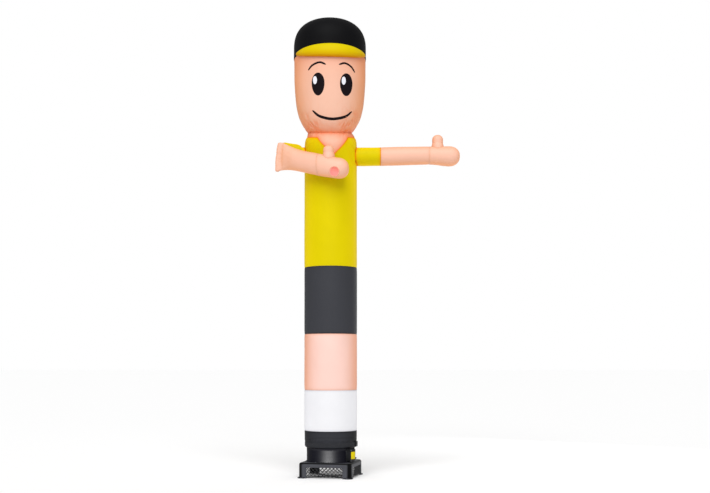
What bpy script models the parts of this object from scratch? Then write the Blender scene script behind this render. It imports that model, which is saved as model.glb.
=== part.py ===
"""An inflatable air dancer standing on its blower.

Metres, +Z up. The origin lies on the tube's axis at floor level. The face looks along -Y,
the straight arm points along +X, and the other arm starts along -X and is folded back in
front of the chest. Every cloth panel is a thin hollow shell in its blown-up form, sewn end
to end with the next one; the blower is a square base, a drum and what is fixed to them.
"""
import math

import bmesh
import bpy
from mathutils import Vector

# ---- Driving dimensions, in metres ----
GAP = 0.0003                 # between pieces that are sewn or screwed together
CLOTH = 0.002                # thickness of every cloth panel
TUBE_RADIUS = 0.256          # body and legs
BODY_SIDES = 36              # facets round the body, the head and the cap
ARM_SIDES = 18               # facets round an arm
THUMB_SIDES = 12

# Heights of the seams between the bands of the tube
BOOT_BOTTOM = 0.290
SOCK_BOTTOM = 0.451
LEG_BOTTOM = 0.847
SHORTS_BOTTOM = 1.391
SHIRT_BOTTOM = 2.042
SHIRT_TOP = 3.319
NECK_PINCH = 3.3633
CAP_HEM = 4.078
HEAD_TOP = 4.100             # the head panel's edge, tucked inside the cap

PINCH_RADIUS = 0.217
SHIRT_TOP_RADIUS = 0.2365
HEAD_RADIUS = 0.3495
CAP_RADIUS = 0.3525
CAP_HEM_RADIUS = 0.3545
CAP_DOME_START = 4.180
CAP_DOME_HEIGHT = 0.285
CAP_DOME_POWER = 2.5         # 2 would be an ellipse; more is squarer
PLEATS = 9                   # gathers round the pinched neck
PLEAT_DEPTH = 0.003
HEAD_TURN = 5.0              # degrees about +Z
CHEST_TURN = 3.5
HEAD_LEAN = 0.008            # the head stands this far towards the bent arm

V_HALF_WIDTH = 0.147
V_BOTTOM = 3.106
V_STEPS = 6                  # straight stretches down each side of the V

PEAK_HALF_ANGLE = 70.0       # degrees to each side of the face's middle
PEAK_CLEARANCE = 0.0004
PEAK_PUFF = 0.034

ARM_RADIUS = 0.089
ARM_HEIGHT = 3.132
SLEEVE_END = 0.4905          # distance of the sleeve's end from the tube's axis
WRIST = 0.964
HAND_END = 1.2665
HAND_RADIUS = 0.097
THUMB_X = 1.048
THUMB_RADIUS = 0.053
THUMB_TOP = 3.346
VENT_RADIUS = 0.043
VENT_FROM_TIP = 0.153

FOLD_CENTRE = (-0.498, -0.075)
FOLD_RADIUS = 0.024
FOLD_HALF_DEPTH = 0.012
FOLD_HEIGHT = 3.114
FOLD_LEAN = 0.09             # the folded edge leans this much inwards, for each metre up

DRUM_RADIUS = 0.2345
DRUM_WALL = 0.003
DRUM_TOP = 0.345
DRUM_FLANGE_RADIUS = 0.244
BASE_TURN = -12.4            # degrees about +Z
BASE_HALF = 0.262
BASE_HEIGHT = 0.150
BASE_WALL = 0.004
BASE_CORNER = 0.055
BASE_EDGE = 0.020
BASE_HOLE_RADIUS = 0.224
OPENING_HALF_WIDTH = 0.179
OPENING_TOP = 0.105
OPENING_CORNER = 0.015
FOOT_RADIUS = 0.045
FOOT_HEIGHT = 0.010
FOOT_REACH = 0.227           # from the axis to a foot's centre, along X and Y
BRACE_WIDTH = 0.036
BRACE_THICKNESS = 0.004
BRACE_DISC_RADIUS = 0.045

MESH_CELL = 0.056            # diagonal of one diamond of a guard
MESH_WIRE = 0.004
GUARD_OVERLAP = 0.008

MOTOR_RADIUS = 0.072
MOTOR_BOTTOM = 0.168
MOTOR_TOP = 0.285
STRUT_WIDTH = 0.022
STRUT_THICKNESS = 0.005

BOX_ANGLE = -42.0            # where the box sits on the drum, degrees from +X
BOX_WIDTH = 0.070
BOX_REACH = 0.060            # how far it stands off the drum
BOX_BOTTOM = 0.160
BOX_TOP = 0.280
PLATE_SIZE = (0.056, 0.070)
PLATE_THICKNESS = 0.0015
GLAND_RADIUS = 0.011
GLAND_LENGTH = 0.040

STRAP_BOTTOM = 0.306
STRAP_TOP = 0.342
BUCKLE_ANGLE = -14.0

COLOURS = {
    # name: (red, green, blue, roughness, metallic)
    "yellow_ripstop": (0.84, 0.72, 0.00, 0.62, 0.0),
    "skin_ripstop": (0.93, 0.55, 0.38, 0.62, 0.0),
    "charcoal_ripstop": (0.045, 0.043, 0.050, 0.60, 0.0),
    "white_ripstop": (0.90, 0.89, 0.92, 0.60, 0.0),
    "black_ripstop": (0.012, 0.012, 0.014, 0.58, 0.0),
    "black_webbing": (0.010, 0.010, 0.012, 0.80, 0.0),
    "base_plastic": (0.050, 0.050, 0.054, 0.48, 0.0),
    "drum_paint": (0.030, 0.031, 0.035, 0.32, 0.0),
    "guard_wire": (0.015, 0.015, 0.016, 0.40, 0.0),
    "box_plastic": (0.012, 0.012, 0.014, 0.42, 0.0),
    "plate_yellow": (0.90, 0.72, 0.01, 0.45, 0.0),
}


# ---- Small helpers ----
def clear_scene():
    """Remove every object of the file that the script starts in."""
    for item in list(bpy.data.objects):
        bpy.data.objects.remove(item, do_unlink=True)


def paint(piece, name):
    """Give a piece the material of that name, made the first time it is asked for."""
    material = bpy.data.materials.get(name)
    if material is None:
        red, green, blue, roughness, metallic = COLOURS[name]
        material = bpy.data.materials.new(name)
        material.use_nodes = True
        shader = material.node_tree.nodes["Principled BSDF"]
        shader.inputs["Base Color"].default_value = (red, green, blue, 1.0)
        shader.inputs["Roughness"].default_value = roughness
        shader.inputs["Metallic"].default_value = metallic
    piece.data.materials.clear()
    piece.data.materials.append(material)


def new_piece(name, shape):
    """Make an object from a bmesh."""
    mesh = bpy.data.meshes.new(name)
    shape.to_mesh(mesh)
    shape.free()
    piece = bpy.data.objects.new(name, mesh)
    bpy.context.scene.collection.objects.link(piece)
    return piece


def smooth(piece, angle=40.0):
    """Shade a piece smooth, with its real edges left sharp."""
    piece.data.shade_smooth()
    piece.data.set_sharp_from_angle(angle=math.radians(angle))


def freeze(piece):
    """Turn a piece's modifiers into plain mesh, so that its points can be moved."""
    graph = bpy.context.evaluated_depsgraph_get()
    mesh = bpy.data.meshes.new_from_object(piece.evaluated_get(graph))
    piece.modifiers.clear()
    piece.data = mesh


def combine(piece, tool, operation):
    """Join, cut or keep a piece with a tool, and take the tool away again."""
    change = piece.modifiers.new(operation.lower(), "BOOLEAN")
    change.operation = operation
    change.solver = "EXACT"
    change.object = tool
    bpy.context.view_layer.update()
    freeze(piece)
    bpy.data.objects.remove(tool, do_unlink=True)


def skin(name, rings, close_start=False, close_end=False, closed_loop=False):
    """A skin through rings of points. The rings run anticlockwise, seen against their order."""
    shape = bmesh.new()
    loops = [[shape.verts.new(point) for point in ring] for ring in rings]
    pairs = list(zip(loops, loops[1:]))
    if closed_loop:
        pairs.append((loops[-1], loops[0]))
    for lower, upper in pairs:
        count = len(lower)
        for i in range(count):
            j = (i + 1) % count
            shape.faces.new((lower[i], lower[j], upper[j], upper[i]))
    if close_start:
        shape.faces.new(list(reversed(loops[0])))
    if close_end:
        shape.faces.new(loops[-1])
    return new_piece(name, shape)


def thicken(piece):
    """Give a skin the cloth's thickness, inwards."""
    wall = piece.modifiers.new("cloth", "SOLIDIFY")
    wall.thickness = CLOTH
    wall.offset = -1.0
    freeze(piece)


def circle(radius, height, sides, pleat=0.0):
    """Points of a level circle about the axis, with gathers of the given depth."""
    ring = []
    for i in range(sides):
        angle = 2.0 * math.pi * i / sides
        reach = radius + pleat * math.cos(PLEATS * angle)
        ring.append(Vector((reach * math.cos(angle), reach * math.sin(angle), height)))
    return ring


def cylinder(name, radius, bottom, top, sides, centre=(0.0, 0.0)):
    """An upright closed cylinder."""
    place = Vector((centre[0], centre[1], 0.0))
    rings = [[place + point for point in circle(radius, height, sides)] for height in (bottom, top)]
    return skin(name, rings, close_start=True, close_end=True)


def prism(name, outline, depth_from, depth_to):
    """An outline of (x, z) points, drawn out along Y. The outline runs anticlockwise from -Y."""
    rings = [[Vector((x, y, z)) for x, z in outline] for y in (depth_to, depth_from)]
    return skin(name, rings, close_start=True, close_end=True)


def block(name, low, high):
    """A box between two corners."""
    outline = [(low[0], low[2]), (high[0], low[2]), (high[0], high[2]), (low[0], high[2])]
    return prism(name, outline, low[1], high[1])


def ease(value, low, high):
    """0 below low, 1 above high, and a smooth rise between them."""
    share = min(1.0, max(0.0, (value - low) / (high - low)))
    return share * share * (3.0 - 2.0 * share)


def nodded(y, z):
    """The height of a point after the neck has dipped towards the front, under the head's weight."""
    share = ease(z, 3.08, 3.30) * (1.0 - ease(z, 3.40, 3.80))
    return z + share * (0.107 * y - 0.382 * y * y)


def nod(piece):
    """Let a piece dip and lean with the neck."""
    for vertex in piece.data.vertices:
        vertex.co.x -= HEAD_LEAN * ease(vertex.co.z, 3.322, 3.372)
        vertex.co.z = nodded(vertex.co.y, vertex.co.z)


def place_under(pieces, parent):
    """Parent pieces to an empty, which turns them about the tube's axis."""
    for piece in pieces:
        piece.parent = parent


def turning_empty(name, degrees):
    """An empty at the origin, turned about +Z."""
    empty = bpy.data.objects.new(name, None)
    empty.rotation_euler.z = math.radians(degrees)
    bpy.context.scene.collection.objects.link(empty)
    return empty


# ---- The tube's bands ----
def band(name, rows, material, bottom_gap=GAP):
    """One turned panel of the tube, from (height, radius) rows, bottom first."""
    rings = []
    for number, (height, radius) in enumerate(rows):
        lift = bottom_gap if number == 0 else 0.0
        rings.append(circle(radius, height + lift, BODY_SIDES))
    piece = skin(name, rings)
    thicken(piece)
    smooth(piece)
    paint(piece, material)
    return piece


def build_bands():
    """Boot, sock, leg and shorts, sewn end to end."""
    grip = DRUM_RADIUS + GAP + 0.5 * CLOTH
    boot_rows = [
        (BOOT_BOTTOM, grip), (0.296, 0.2450), (0.304, 0.2510), (0.344, 0.2515),
        (0.362, 0.2555), (SOCK_BOTTOM, TUBE_RADIUS),
    ]
    band("boot_band", boot_rows, "black_ripstop", bottom_gap=0.0)
    spans = [
        ("sock_band", SOCK_BOTTOM, LEG_BOTTOM, "white_ripstop"),
        ("leg_band", LEG_BOTTOM, SHORTS_BOTTOM, "skin_ripstop"),
        ("shorts_band", SHORTS_BOTTOM, SHIRT_BOTTOM, "charcoal_ripstop"),
    ]
    for name, bottom, top, material in spans:
        swell = 0.0015       # the cloth stands a little fuller between two seams
        rows = [
            (bottom, TUBE_RADIUS), (bottom + 0.05, TUBE_RADIUS + swell),
            (top - 0.05, TUBE_RADIUS + swell), (top, TUBE_RADIUS),
        ]
        band(name, rows, material)


def build_strap():
    """The strap that ties the boot to the drum, and its buckle."""
    inner = 0.2519
    outer = 0.2540
    rings = [
        circle(inner, STRAP_BOTTOM, BODY_SIDES), circle(outer, STRAP_BOTTOM, BODY_SIDES),
        circle(outer, STRAP_TOP, BODY_SIDES), circle(inner, STRAP_TOP, BODY_SIDES),
    ]
    strap = skin("cinch_strap", rings, closed_loop=True)
    paint(strap, "black_webbing")
    smooth(strap)
    middle = 0.5 * (STRAP_BOTTOM + STRAP_TOP)
    low = (outer + GAP, -0.029, middle - 0.027)
    high = (outer + 0.011, 0.029, middle + 0.027)
    buckle = block("strap_buckle", low, high)
    rounding = buckle.modifiers.new("rounding", "BEVEL")
    rounding.width = 0.003
    rounding.segments = 2
    window = block("buckle_window", (0.20, -0.016, middle - 0.017), (0.30, 0.016, middle + 0.017))
    freeze(buckle)
    combine(buckle, window, "DIFFERENCE")
    bar = block("buckle_bar", (outer + 0.003, -0.004, middle - 0.022), (outer + 0.008, 0.004, middle + 0.022))
    combine(buckle, bar, "UNION")
    buckle.rotation_euler.z = math.radians(BUCKLE_ANGLE)
    paint(buckle, "box_plastic")


# ---- Shirt, neck, head and cap ----
def collar_rows():
    """(height, radius) rows that the shirt and the neck panel share."""
    return [
        (3.12, TUBE_RADIUS), (3.215, TUBE_RADIUS), (3.262, 0.2545), (3.297, 0.2480),
        (SHIRT_TOP, SHIRT_TOP_RADIUS),
    ]


def v_prism(name, lift):
    """The V of the neck, drawn out along Y. Its sides dip with the neck; lift raises them."""
    side = []
    for step in range(V_STEPS + 1):
        share = step / V_STEPS
        x = share * V_HALF_WIDTH
        z = V_BOTTOM + share * (SHIRT_TOP + 0.002 - V_BOTTOM)
        radius = TUBE_RADIUS + (SHIRT_TOP_RADIUS - TUBE_RADIUS) * share ** 4
        side.append((x, nodded(-math.sqrt(radius * radius - x * x), z) + lift))
    outline = side + [(V_HALF_WIDTH, 3.40), (-V_HALF_WIDTH, 3.40)]
    outline += [(-x, z) for x, z in reversed(side[1:])]
    tool = prism(name, outline, -0.40, -0.06)
    tool.rotation_euler.z = math.radians(CHEST_TURN)
    return tool


def build_shirt():
    """The yellow tube, with its V and two arm holes."""
    rows = [
        (SHIRT_BOTTOM + GAP, TUBE_RADIUS), (SHIRT_BOTTOM + 0.05, TUBE_RADIUS + 0.0015),
        (2.70, TUBE_RADIUS + 0.0005),
    ] + collar_rows()
    shirt = skin("shirt", [circle(radius, height, BODY_SIDES) for height, radius in rows])
    nod(shirt)
    thicken(shirt)
    combine(shirt, v_prism("v_cut", -GAP), "DIFFERENCE")
    for side in (-1.0, 1.0):
        hole = tube_solid("arm_hole", ARM_RADIUS - CLOTH, (side * 0.15, side * 0.40))
        combine(shirt, hole, "DIFFERENCE")
    smooth(shirt)
    paint(shirt, "yellow_ripstop")


def tube_solid(name, radius, span):
    """A closed cylinder along X at the arms' height."""
    rings = []
    for x in sorted(span):
        ring = []
        for i in range(ARM_SIDES):
            angle = 2.0 * math.pi * i / ARM_SIDES
            ring.append(Vector((x, radius * math.cos(angle), ARM_HEIGHT + radius * math.sin(angle))))
        rings.append(ring)
    return skin(name, rings, close_start=True, close_end=True)


def build_neck():
    """The skin-coloured panel: the V in front and the neck up to the pinch."""
    rows = [(3.080, TUBE_RADIUS)] + collar_rows() + [(3.338, 0.2290)]
    rings = [circle(radius, height, BODY_SIDES) for height, radius in rows]
    rings.append(circle(PINCH_RADIUS, NECK_PINCH - GAP, BODY_SIDES, PLEAT_DEPTH))
    neck = skin("neck_panel", rings)
    nod(neck)
    thicken(neck)
    edge = SHIRT_TOP + 1.5 * GAP
    profile = [
        # radius, height: the space below the neck's seam, which the shirt fills
        (SHIRT_TOP_RADIUS - 0.007, edge), (0.20, 3.25), (0.20, 3.00), (0.30, 3.00), (0.30, 3.25),
        (SHIRT_TOP_RADIUS + 0.004, edge),
    ]
    below = skin("below_neck", [circle(radius, height, BODY_SIDES) for radius, height in profile],
                 closed_loop=True)
    nod(below)
    combine(below, v_prism("v_keep", GAP), "DIFFERENCE")
    combine(neck, below, "DIFFERENCE")
    smooth(neck)
    paint(neck, "skin_ripstop")


def build_head():
    """The head panel, from the pinched neck to the edge inside the cap."""
    rows = [
        # height, radius, share of the gathers' depth
        (NECK_PINCH, PINCH_RADIUS, 1.0), (3.385, 0.2335, 1.3), (3.420, 0.2570, 1.0),
        (3.460, 0.2800, 0.6), (3.510, 0.3010, 0.3), (3.570, 0.3180, 0.1), (3.650, 0.3315, 0.0),
        (3.760, 0.3415, 0.0), (3.900, 0.3482, 0.0), (HEAD_TOP, HEAD_RADIUS, 0.0),
    ]
    rings = [circle(radius, height, BODY_SIDES, PLEAT_DEPTH * share) for height, radius, share in rows]
    head = skin("head_panel", rings)
    thicken(head)
    nod(head)
    smooth(head)
    paint(head, "skin_ripstop")


def build_cap(turn):
    """The cap's dome, a little wider at its hem, with the puffed peak below its front."""
    rings = [
        circle(CAP_HEM_RADIUS, CAP_HEM, BODY_SIDES), circle(CAP_RADIUS + 0.0006, CAP_HEM + 0.022, BODY_SIDES),
        circle(CAP_RADIUS, CAP_DOME_START, BODY_SIDES),
    ]
    for share in (0.32, 0.55, 0.73, 0.86, 0.95, 0.99):
        radius = CAP_RADIUS * (1.0 - share ** CAP_DOME_POWER) ** (1.0 / CAP_DOME_POWER)
        rings.append(circle(radius, CAP_DOME_START + CAP_DOME_HEIGHT * share, BODY_SIDES))
    cap = skin("cap", rings, close_end=True)
    thicken(cap)
    smooth(cap)
    paint(cap, "black_ripstop")
    place_under([cap, build_peak()], turn)


def build_peak():
    """The peak: a padded crescent that hangs from the cap's front over the forehead."""
    steps = round(2.0 * PEAK_HALF_ANGLE * BODY_SIDES / 360.0)  # in line with the cap's facets
    inner = CAP_HEM_RADIUS + PEAK_CLEARANCE
    across = [
        # share of the way down, share of the puff
        (0.00, 0.10), (0.14, 0.52), (0.38, 0.86), (0.66, 1.00), (0.88, 0.80), (1.00, 0.30),
    ]
    rings = []
    for i in range(steps + 1):
        place = 2.0 * i / steps - 1.0
        fullness = max(0.0, 1.0 - place * place)
        angle = math.radians(PEAK_HALF_ANGLE * place - 90.0)
        top = 4.108 + 0.038 * fullness
        bottom = 4.086 - 0.088 * fullness ** 0.8
        puff = 0.005 + PEAK_PUFF * fullness ** 0.7
        section = [(inner, bottom), (inner, top)]
        for down, share in across:
            section.append((inner + puff * share, top + (bottom - top) * down))
        rings.append([Vector((reach * math.cos(angle), reach * math.sin(angle), height))
                      for reach, height in section])
    peak = skin("cap_peak", rings, close_start=True, close_end=True)
    smooth(peak, 60.0)
    paint(peak, "yellow_ripstop")
    return peak


# ---- Arms ----
def tall_half(half_depth):
    """Half height of a flattened tube: an ellipse whose way round stays that of the round tube."""
    low = half_depth * 0.5
    high = ARM_RADIUS * 1.7
    target = 2.0 * math.pi * ARM_RADIUS
    for _ in range(40):
        middle = 0.5 * (low + high)
        total = middle + half_depth
        root = math.sqrt((3.0 * middle + half_depth) * (middle + 3.0 * half_depth))
        if math.pi * (3.0 * total - root) < target:
            low = middle
        else:
            high = middle
    return middle


def arm_ring(centre, heading, half_height, half_depth, grow=0.0):
    """One upright section across an arm; heading is the arm's direction seen from above."""
    side = Vector((-math.sin(heading), math.cos(heading), 0.0))
    up = Vector((FOLD_LEAN * ease(-centre[0], 0.40, 0.52), 0.0, 1.0))
    ring = []
    for i in range(ARM_SIDES):
        angle = 2.0 * math.pi * i / ARM_SIDES
        across = side * ((half_depth + grow) * math.cos(angle))
        ring.append(Vector(centre) + across + up * ((half_height + grow) * math.sin(angle)))
    return ring


def arm_rings(rows, grow=0.0):
    """Sections for (x, y, z, heading, half height, half depth) rows."""
    return [arm_ring(row[:3], math.radians(row[3]), row[4], row[5], grow) for row in rows]


def pull_back(row, distance):
    """The same section, moved back along the arm."""
    heading = math.radians(row[3])
    x = row[0] - distance * math.cos(heading)
    y = row[1] - distance * math.sin(heading)
    return (x, y) + tuple(row[2:])


def round_end(row, length, drop=0.0):
    """The sections that close a hand beyond its last full section."""
    rows = []
    heading = math.radians(row[3])
    for degrees in (25.0, 47.0, 65.0, 79.0):
        angle = math.radians(degrees)
        ahead = length * math.sin(angle)
        width = math.cos(angle) ** 0.85
        rows.append((
            row[0] + ahead * math.cos(heading), row[1] + ahead * math.sin(heading),
            row[2] - drop * math.sin(angle), row[3], row[4] * width, row[5] * width,
        ))
    return rows


def straight_rows():
    """Sections of the straight arm, by panel."""
    r = ARM_RADIUS
    sleeve = [
        (0.150, 0.0, ARM_HEIGHT, 0.0, r, r), (0.330, 0.0, ARM_HEIGHT, 0.0, r, r),
        (SLEEVE_END, 0.0, 3.134, 0.0, r, r),
    ]
    forearm = [
        (SLEEVE_END + GAP, 0.0, 3.134, 0.0, r, r), (0.640, 0.0, 3.138, 0.0, 0.0890, 0.0890),
        (0.820, 0.0, 3.142, 0.0, 0.0880, 0.0880), (WRIST, 0.0, 3.145, 0.0, 0.0865, 0.0865),
    ]
    hand = [
        (WRIST + GAP, 0.0, 3.145, 0.0, 0.0865, 0.0865), (1.000, 0.0, 3.145, 0.0, 0.0890, 0.0890),
        (1.060, 0.0, 3.142, 0.0, 0.0920, 0.0920), (1.120, 0.0, 3.138, 0.0, 0.0960, 0.0950),
        (HAND_END - 0.102, 0.0, 3.1365, 0.0, HAND_RADIUS, 0.0950),
    ]
    return sleeve, forearm, hand + round_end(hand[-1], 0.102)


def bent_rows():
    """Sections of the bent arm, by panel: out to the elbow, round its fold and back."""
    def flat(x, y, z, heading, half_depth):
        return (x, y, z, heading, tall_half(half_depth), half_depth)
    sleeve = [
        flat(-0.150, 0.0, ARM_HEIGHT, 180.0, ARM_RADIUS), flat(-0.262, 0.0, 3.134, 180.0, 0.0875),
        flat(-0.292, 0.0, 3.137, 180.0, 0.0680), flat(-0.332, -0.001, 3.1385, 181.0, 0.0560),
        flat(-0.375, -0.005, 3.140, 186.0, 0.0500), flat(-0.418, -0.0135, 3.141, 195.0, 0.0430),
        flat(-0.446, -0.0235, 3.139, 201.0, 0.0350), flat(-0.466, -0.0325, 3.132, 203.0, 0.0265),
        flat(-0.4735, -0.0357, 3.131, 203.0, 0.0260),
    ]
    last = sleeve[-1]
    forearm = [pull_back(last, -1.4 * GAP), pull_back(last, -0.007)]
    turn_x, turn_y = FOLD_CENTRE
    for degrees in (90.0, 126.0, 162.0, 198.0, 234.0, 270.0):
        angle = math.radians(degrees)
        place = (turn_x + FOLD_RADIUS * math.cos(angle), turn_y + FOLD_RADIUS * math.sin(angle))
        forearm.append(flat(place[0], place[1], FOLD_HEIGHT, degrees + 90.0, FOLD_HALF_DEPTH))
    forearm += [
        flat(-0.471, -0.108, 3.113, -24.0, 0.022), flat(-0.440, -0.126, 3.106, -30.0, 0.040),
        flat(-0.400, -0.150, 3.093, -32.0, 0.0540), flat(-0.317, -0.206, 3.061, -32.0, 0.0700),
        flat(-0.240, -0.2510, 3.034, -29.0, 0.0735), flat(-0.165, -0.294, 3.012, -24.0, 0.0720),
        (-0.106, -0.320, 2.995, -19.0, 0.1055, 0.0745),
    ]
    wrist = forearm[-1]
    hand = [
        (wrist[0] + GAP, wrist[1] - 0.34 * GAP) + wrist[2:], (-0.060, -0.337, 2.984, -15.0, 0.1050, 0.0790),
        (-0.010, -0.3495, 2.973, -9.0, 0.1030, 0.0840), (0.040, -0.3550, 2.9620, -2.0, 0.0995, 0.0880),
        (0.084, -0.3560, 2.9550, 2.0, 0.0980, 0.0880),
    ]
    return sleeve, forearm, hand + round_end(hand[-1], 0.097, drop=0.004)


def arm_panel(name, rows, material, closed=False):
    """One panel of an arm."""
    panel = skin(name, arm_rings(rows), close_end=closed)
    thicken(panel)
    smooth(panel)
    paint(panel, material)
    return panel


def build_arm(side, rows, vent, thumb):
    """Sleeve, forearm, hand and thumb of one arm."""
    sleeve_rows, forearm_rows, hand_rows = rows
    sleeve = arm_panel("sleeve_" + side, sleeve_rows, "yellow_ripstop")
    torso = cylinder("torso_space", TUBE_RADIUS + 0.0005, 2.90, 3.40, 4 * BODY_SIDES)
    combine(sleeve, torso, "DIFFERENCE")
    arm_panel("forearm_" + side, forearm_rows, "skin_ripstop")
    hand = arm_panel("hand_" + side, hand_rows, "skin_ripstop", closed=True)
    combine(hand, vent_hole(*vent), "DIFFERENCE")
    thumb_x, thumb_y, thumb_low, thumb_top, thumb_radius = thumb
    well = cylinder("thumb_well", thumb_radius - 0.008, thumb_low, thumb_top, THUMB_SIDES, (thumb_x, thumb_y))
    combine(hand, well, "DIFFERENCE")
    smooth(hand)
    build_thumb("thumb_" + side, thumb, hand_rows)


def vent_hole(vent_x, vent_z, vent_from, vent_to):
    """The round hole that lets air out of a hand, drawn out along Y."""
    outline = []
    for i in range(ARM_SIDES):
        angle = 2.0 * math.pi * i / ARM_SIDES
        outline.append((vent_x + VENT_RADIUS * math.cos(angle), vent_z + VENT_RADIUS * math.sin(angle)))
    return prism("vent", outline, vent_from, vent_to)


def build_thumb(name, thumb, hand_rows):
    """A round-topped thumb whose root is cut to the hand it is sewn on."""
    x, y, low, top, radius = thumb
    place = Vector((x, y, 0.0))
    foot = low + 0.085
    rows = [(low, radius * 1.30), (foot - 0.026, radius * 1.12), (foot, radius), (top - radius * 0.9, radius)]
    for degrees in (28.0, 52.0, 74.0):
        angle = math.radians(degrees)
        rows.append((top - radius * 0.9 * (1.0 - math.sin(angle)), radius * math.cos(angle) ** 0.9))
    rings = [[place + point for point in circle(reach, height, THUMB_SIDES)] for height, reach in rows]
    piece = skin(name, rings, close_end=True)
    thicken(piece)
    start = pull_back(hand_rows[0], 0.05)
    palm = skin("palm_space", arm_rings([start] + hand_rows, 0.0005), close_start=True, close_end=True)
    combine(piece, palm, "DIFFERENCE")
    smooth(piece)
    paint(piece, "skin_ripstop")


# ---- The blower ----
def build_base():
    """The moulded skirt: rounded, hollow, open below, with an arch in each side."""
    base = rounded_shell("blower_base", BASE_HALF, BASE_HEIGHT, BASE_CORNER, BASE_EDGE)
    inner_half = BASE_HALF - BASE_WALL
    hollow = rounded_shell("hollow", inner_half, BASE_HEIGHT - BASE_WALL, BASE_CORNER - BASE_WALL,
                           BASE_EDGE - BASE_WALL, bottom=-0.02)
    combine(base, hollow, "DIFFERENCE")
    combine(base, cylinder("fan_hole", BASE_HOLE_RADIUS, 0.10, 0.20, BODY_SIDES), "DIFFERENCE")
    for degrees in (0.0, 90.0):
        arch = prism("arch", arch_outline(-0.02), -0.40, 0.40)
        arch.rotation_euler.z = math.radians(degrees)
        combine(base, arch, "DIFFERENCE")
    for x in (-FOOT_REACH, FOOT_REACH):
        for y in (-FOOT_REACH, FOOT_REACH):
            combine(base, cylinder("foot", FOOT_RADIUS, 0.0, FOOT_HEIGHT, 20, (x, y)), "UNION")
    reach = FOOT_REACH * math.sqrt(2.0)
    for degrees in (45.0, 135.0):
        bar = block("bar", (-reach, -0.5 * BRACE_WIDTH, 0.0), (reach, 0.5 * BRACE_WIDTH, BRACE_THICKNESS))
        bar.rotation_euler.z = math.radians(degrees)
        combine(base, bar, "UNION")
    combine(base, cylinder("disc", BRACE_DISC_RADIUS, 0.0, BRACE_THICKNESS, 24), "UNION")
    smooth(base)
    paint(base, "base_plastic")
    return base


def rounded_shell(name, half, height, corner, edge, bottom=0.0):
    """A closed square block with round upright corners and a round top edge."""
    def square_ring(inset, level):
        radius = max(0.004, corner - inset)
        middle = half - inset - radius
        ring = []
        for quarter in range(4):
            for step in range(5):
                angle = math.radians(90.0 * quarter + 22.5 * step)
                start = math.radians(90.0 * quarter + 45.0)
                centre = Vector((math.cos(start), math.sin(start), 0.0)) * middle * math.sqrt(2.0)
                ring.append(centre + Vector((radius * math.cos(angle), radius * math.sin(angle), level)))
        return ring
    rings = [square_ring(0.0, bottom)]
    for degrees in (0.0, 30.0, 60.0, 90.0):
        angle = math.radians(degrees)
        rings.append(square_ring(edge * (1.0 - math.cos(angle)), height - edge * (1.0 - math.sin(angle))))
    return skin(name, rings, close_start=True, close_end=True)


def arch_outline(bottom):
    """One opening's outline in (x, z): straight sides and round upper corners."""
    half = OPENING_HALF_WIDTH
    outline = [(-half, bottom), (half, bottom)]
    for side in (1.0, -1.0):
        steps = (0.0, 45.0, 90.0) if side > 0.0 else (90.0, 45.0, 0.0)
        for degrees in steps:
            angle = math.radians(degrees)
            outline.append((side * (half - OPENING_CORNER * (1.0 - math.cos(angle))),
                            OPENING_TOP - OPENING_CORNER * (1.0 - math.sin(angle))))
    return outline


def build_guards(turn):
    """A diamond mesh behind each arch, pressed from one sheet."""
    half = OPENING_HALF_WIDTH + GUARD_OVERLAP
    low = FOOT_HEIGHT + 0.004
    top = OPENING_TOP + GUARD_OVERLAP
    depth = BASE_HALF - BASE_WALL - GAP - 0.5 * MESH_WIRE
    names = ("guard_right", "guard_back", "guard_left", "guard_front")
    for number, name in enumerate(names):
        guard = diamond_mesh(name, half, low, top)
        for vertex in guard.data.vertices:
            vertex.co.y -= depth
        guard.rotation_euler.z = math.radians(90.0 * (number + 1))
        paint(guard, "guard_wire")
        place_under([guard], turn)


def diamond_mesh(name, half, low, top):
    """A flat lattice of diamonds with a rim, about the plane y = 0."""
    shape = bmesh.new()
    columns = round(2.0 * half / MESH_CELL)
    rows = round((top - low) / (0.75 * MESH_CELL))
    step_x = 2.0 * half / columns
    step_z = (top - low) / rows
    corners = {}

    def corner(x, z):
        key = (round(x, 6), round(z, 6))
        if key not in corners:
            corners[key] = shape.verts.new((x, 0.0, z))
        return corners[key]
    for column in range(columns):
        for row in range(rows):
            left = -half + column * step_x
            right = left + step_x
            bottom = low + row * step_z
            above = bottom + step_z
            hub = corner(0.5 * (left + right), 0.5 * (bottom + above))
            frame = [corner(left, bottom), corner(right, bottom), corner(right, above), corner(left, above)]
            for first, second in zip(frame, frame[1:] + frame[:1]):
                shape.faces.new((first, second, hub))
    inside = [edge for edge in shape.edges if len(edge.link_faces) == 2 and straight(edge)]
    bmesh.ops.dissolve_edges(shape, edges=inside, use_verts=False)
    guard = new_piece(name, shape)
    wires = guard.modifiers.new("wires", "WIREFRAME")
    wires.thickness = MESH_WIRE
    wires.use_boundary = True
    wires.use_even_offset = False
    freeze(guard)
    return guard


def straight(edge):
    """Whether an edge runs along X or Z, so that it is no side of a diamond."""
    way = edge.verts[1].co - edge.verts[0].co
    return min(abs(way.x), abs(way.z)) < 1e-6


def build_drum():
    """The round outlet, with a flange that rests on the base and a rolled upper edge."""
    low = BASE_HEIGHT + GAP
    r = DRUM_RADIUS
    inner = r - DRUM_WALL
    outline = [
        (inner, low), (DRUM_FLANGE_RADIUS, low), (DRUM_FLANGE_RADIUS, low + 0.003), (r, low + 0.004),
        (r, DRUM_TOP), (inner, DRUM_TOP),
    ]
    rings = [circle(radius, height, BODY_SIDES) for radius, height in outline]
    drum = skin("fan_drum", rings, closed_loop=True)
    smooth(drum)
    paint(drum, "drum_paint")
    return drum


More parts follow.
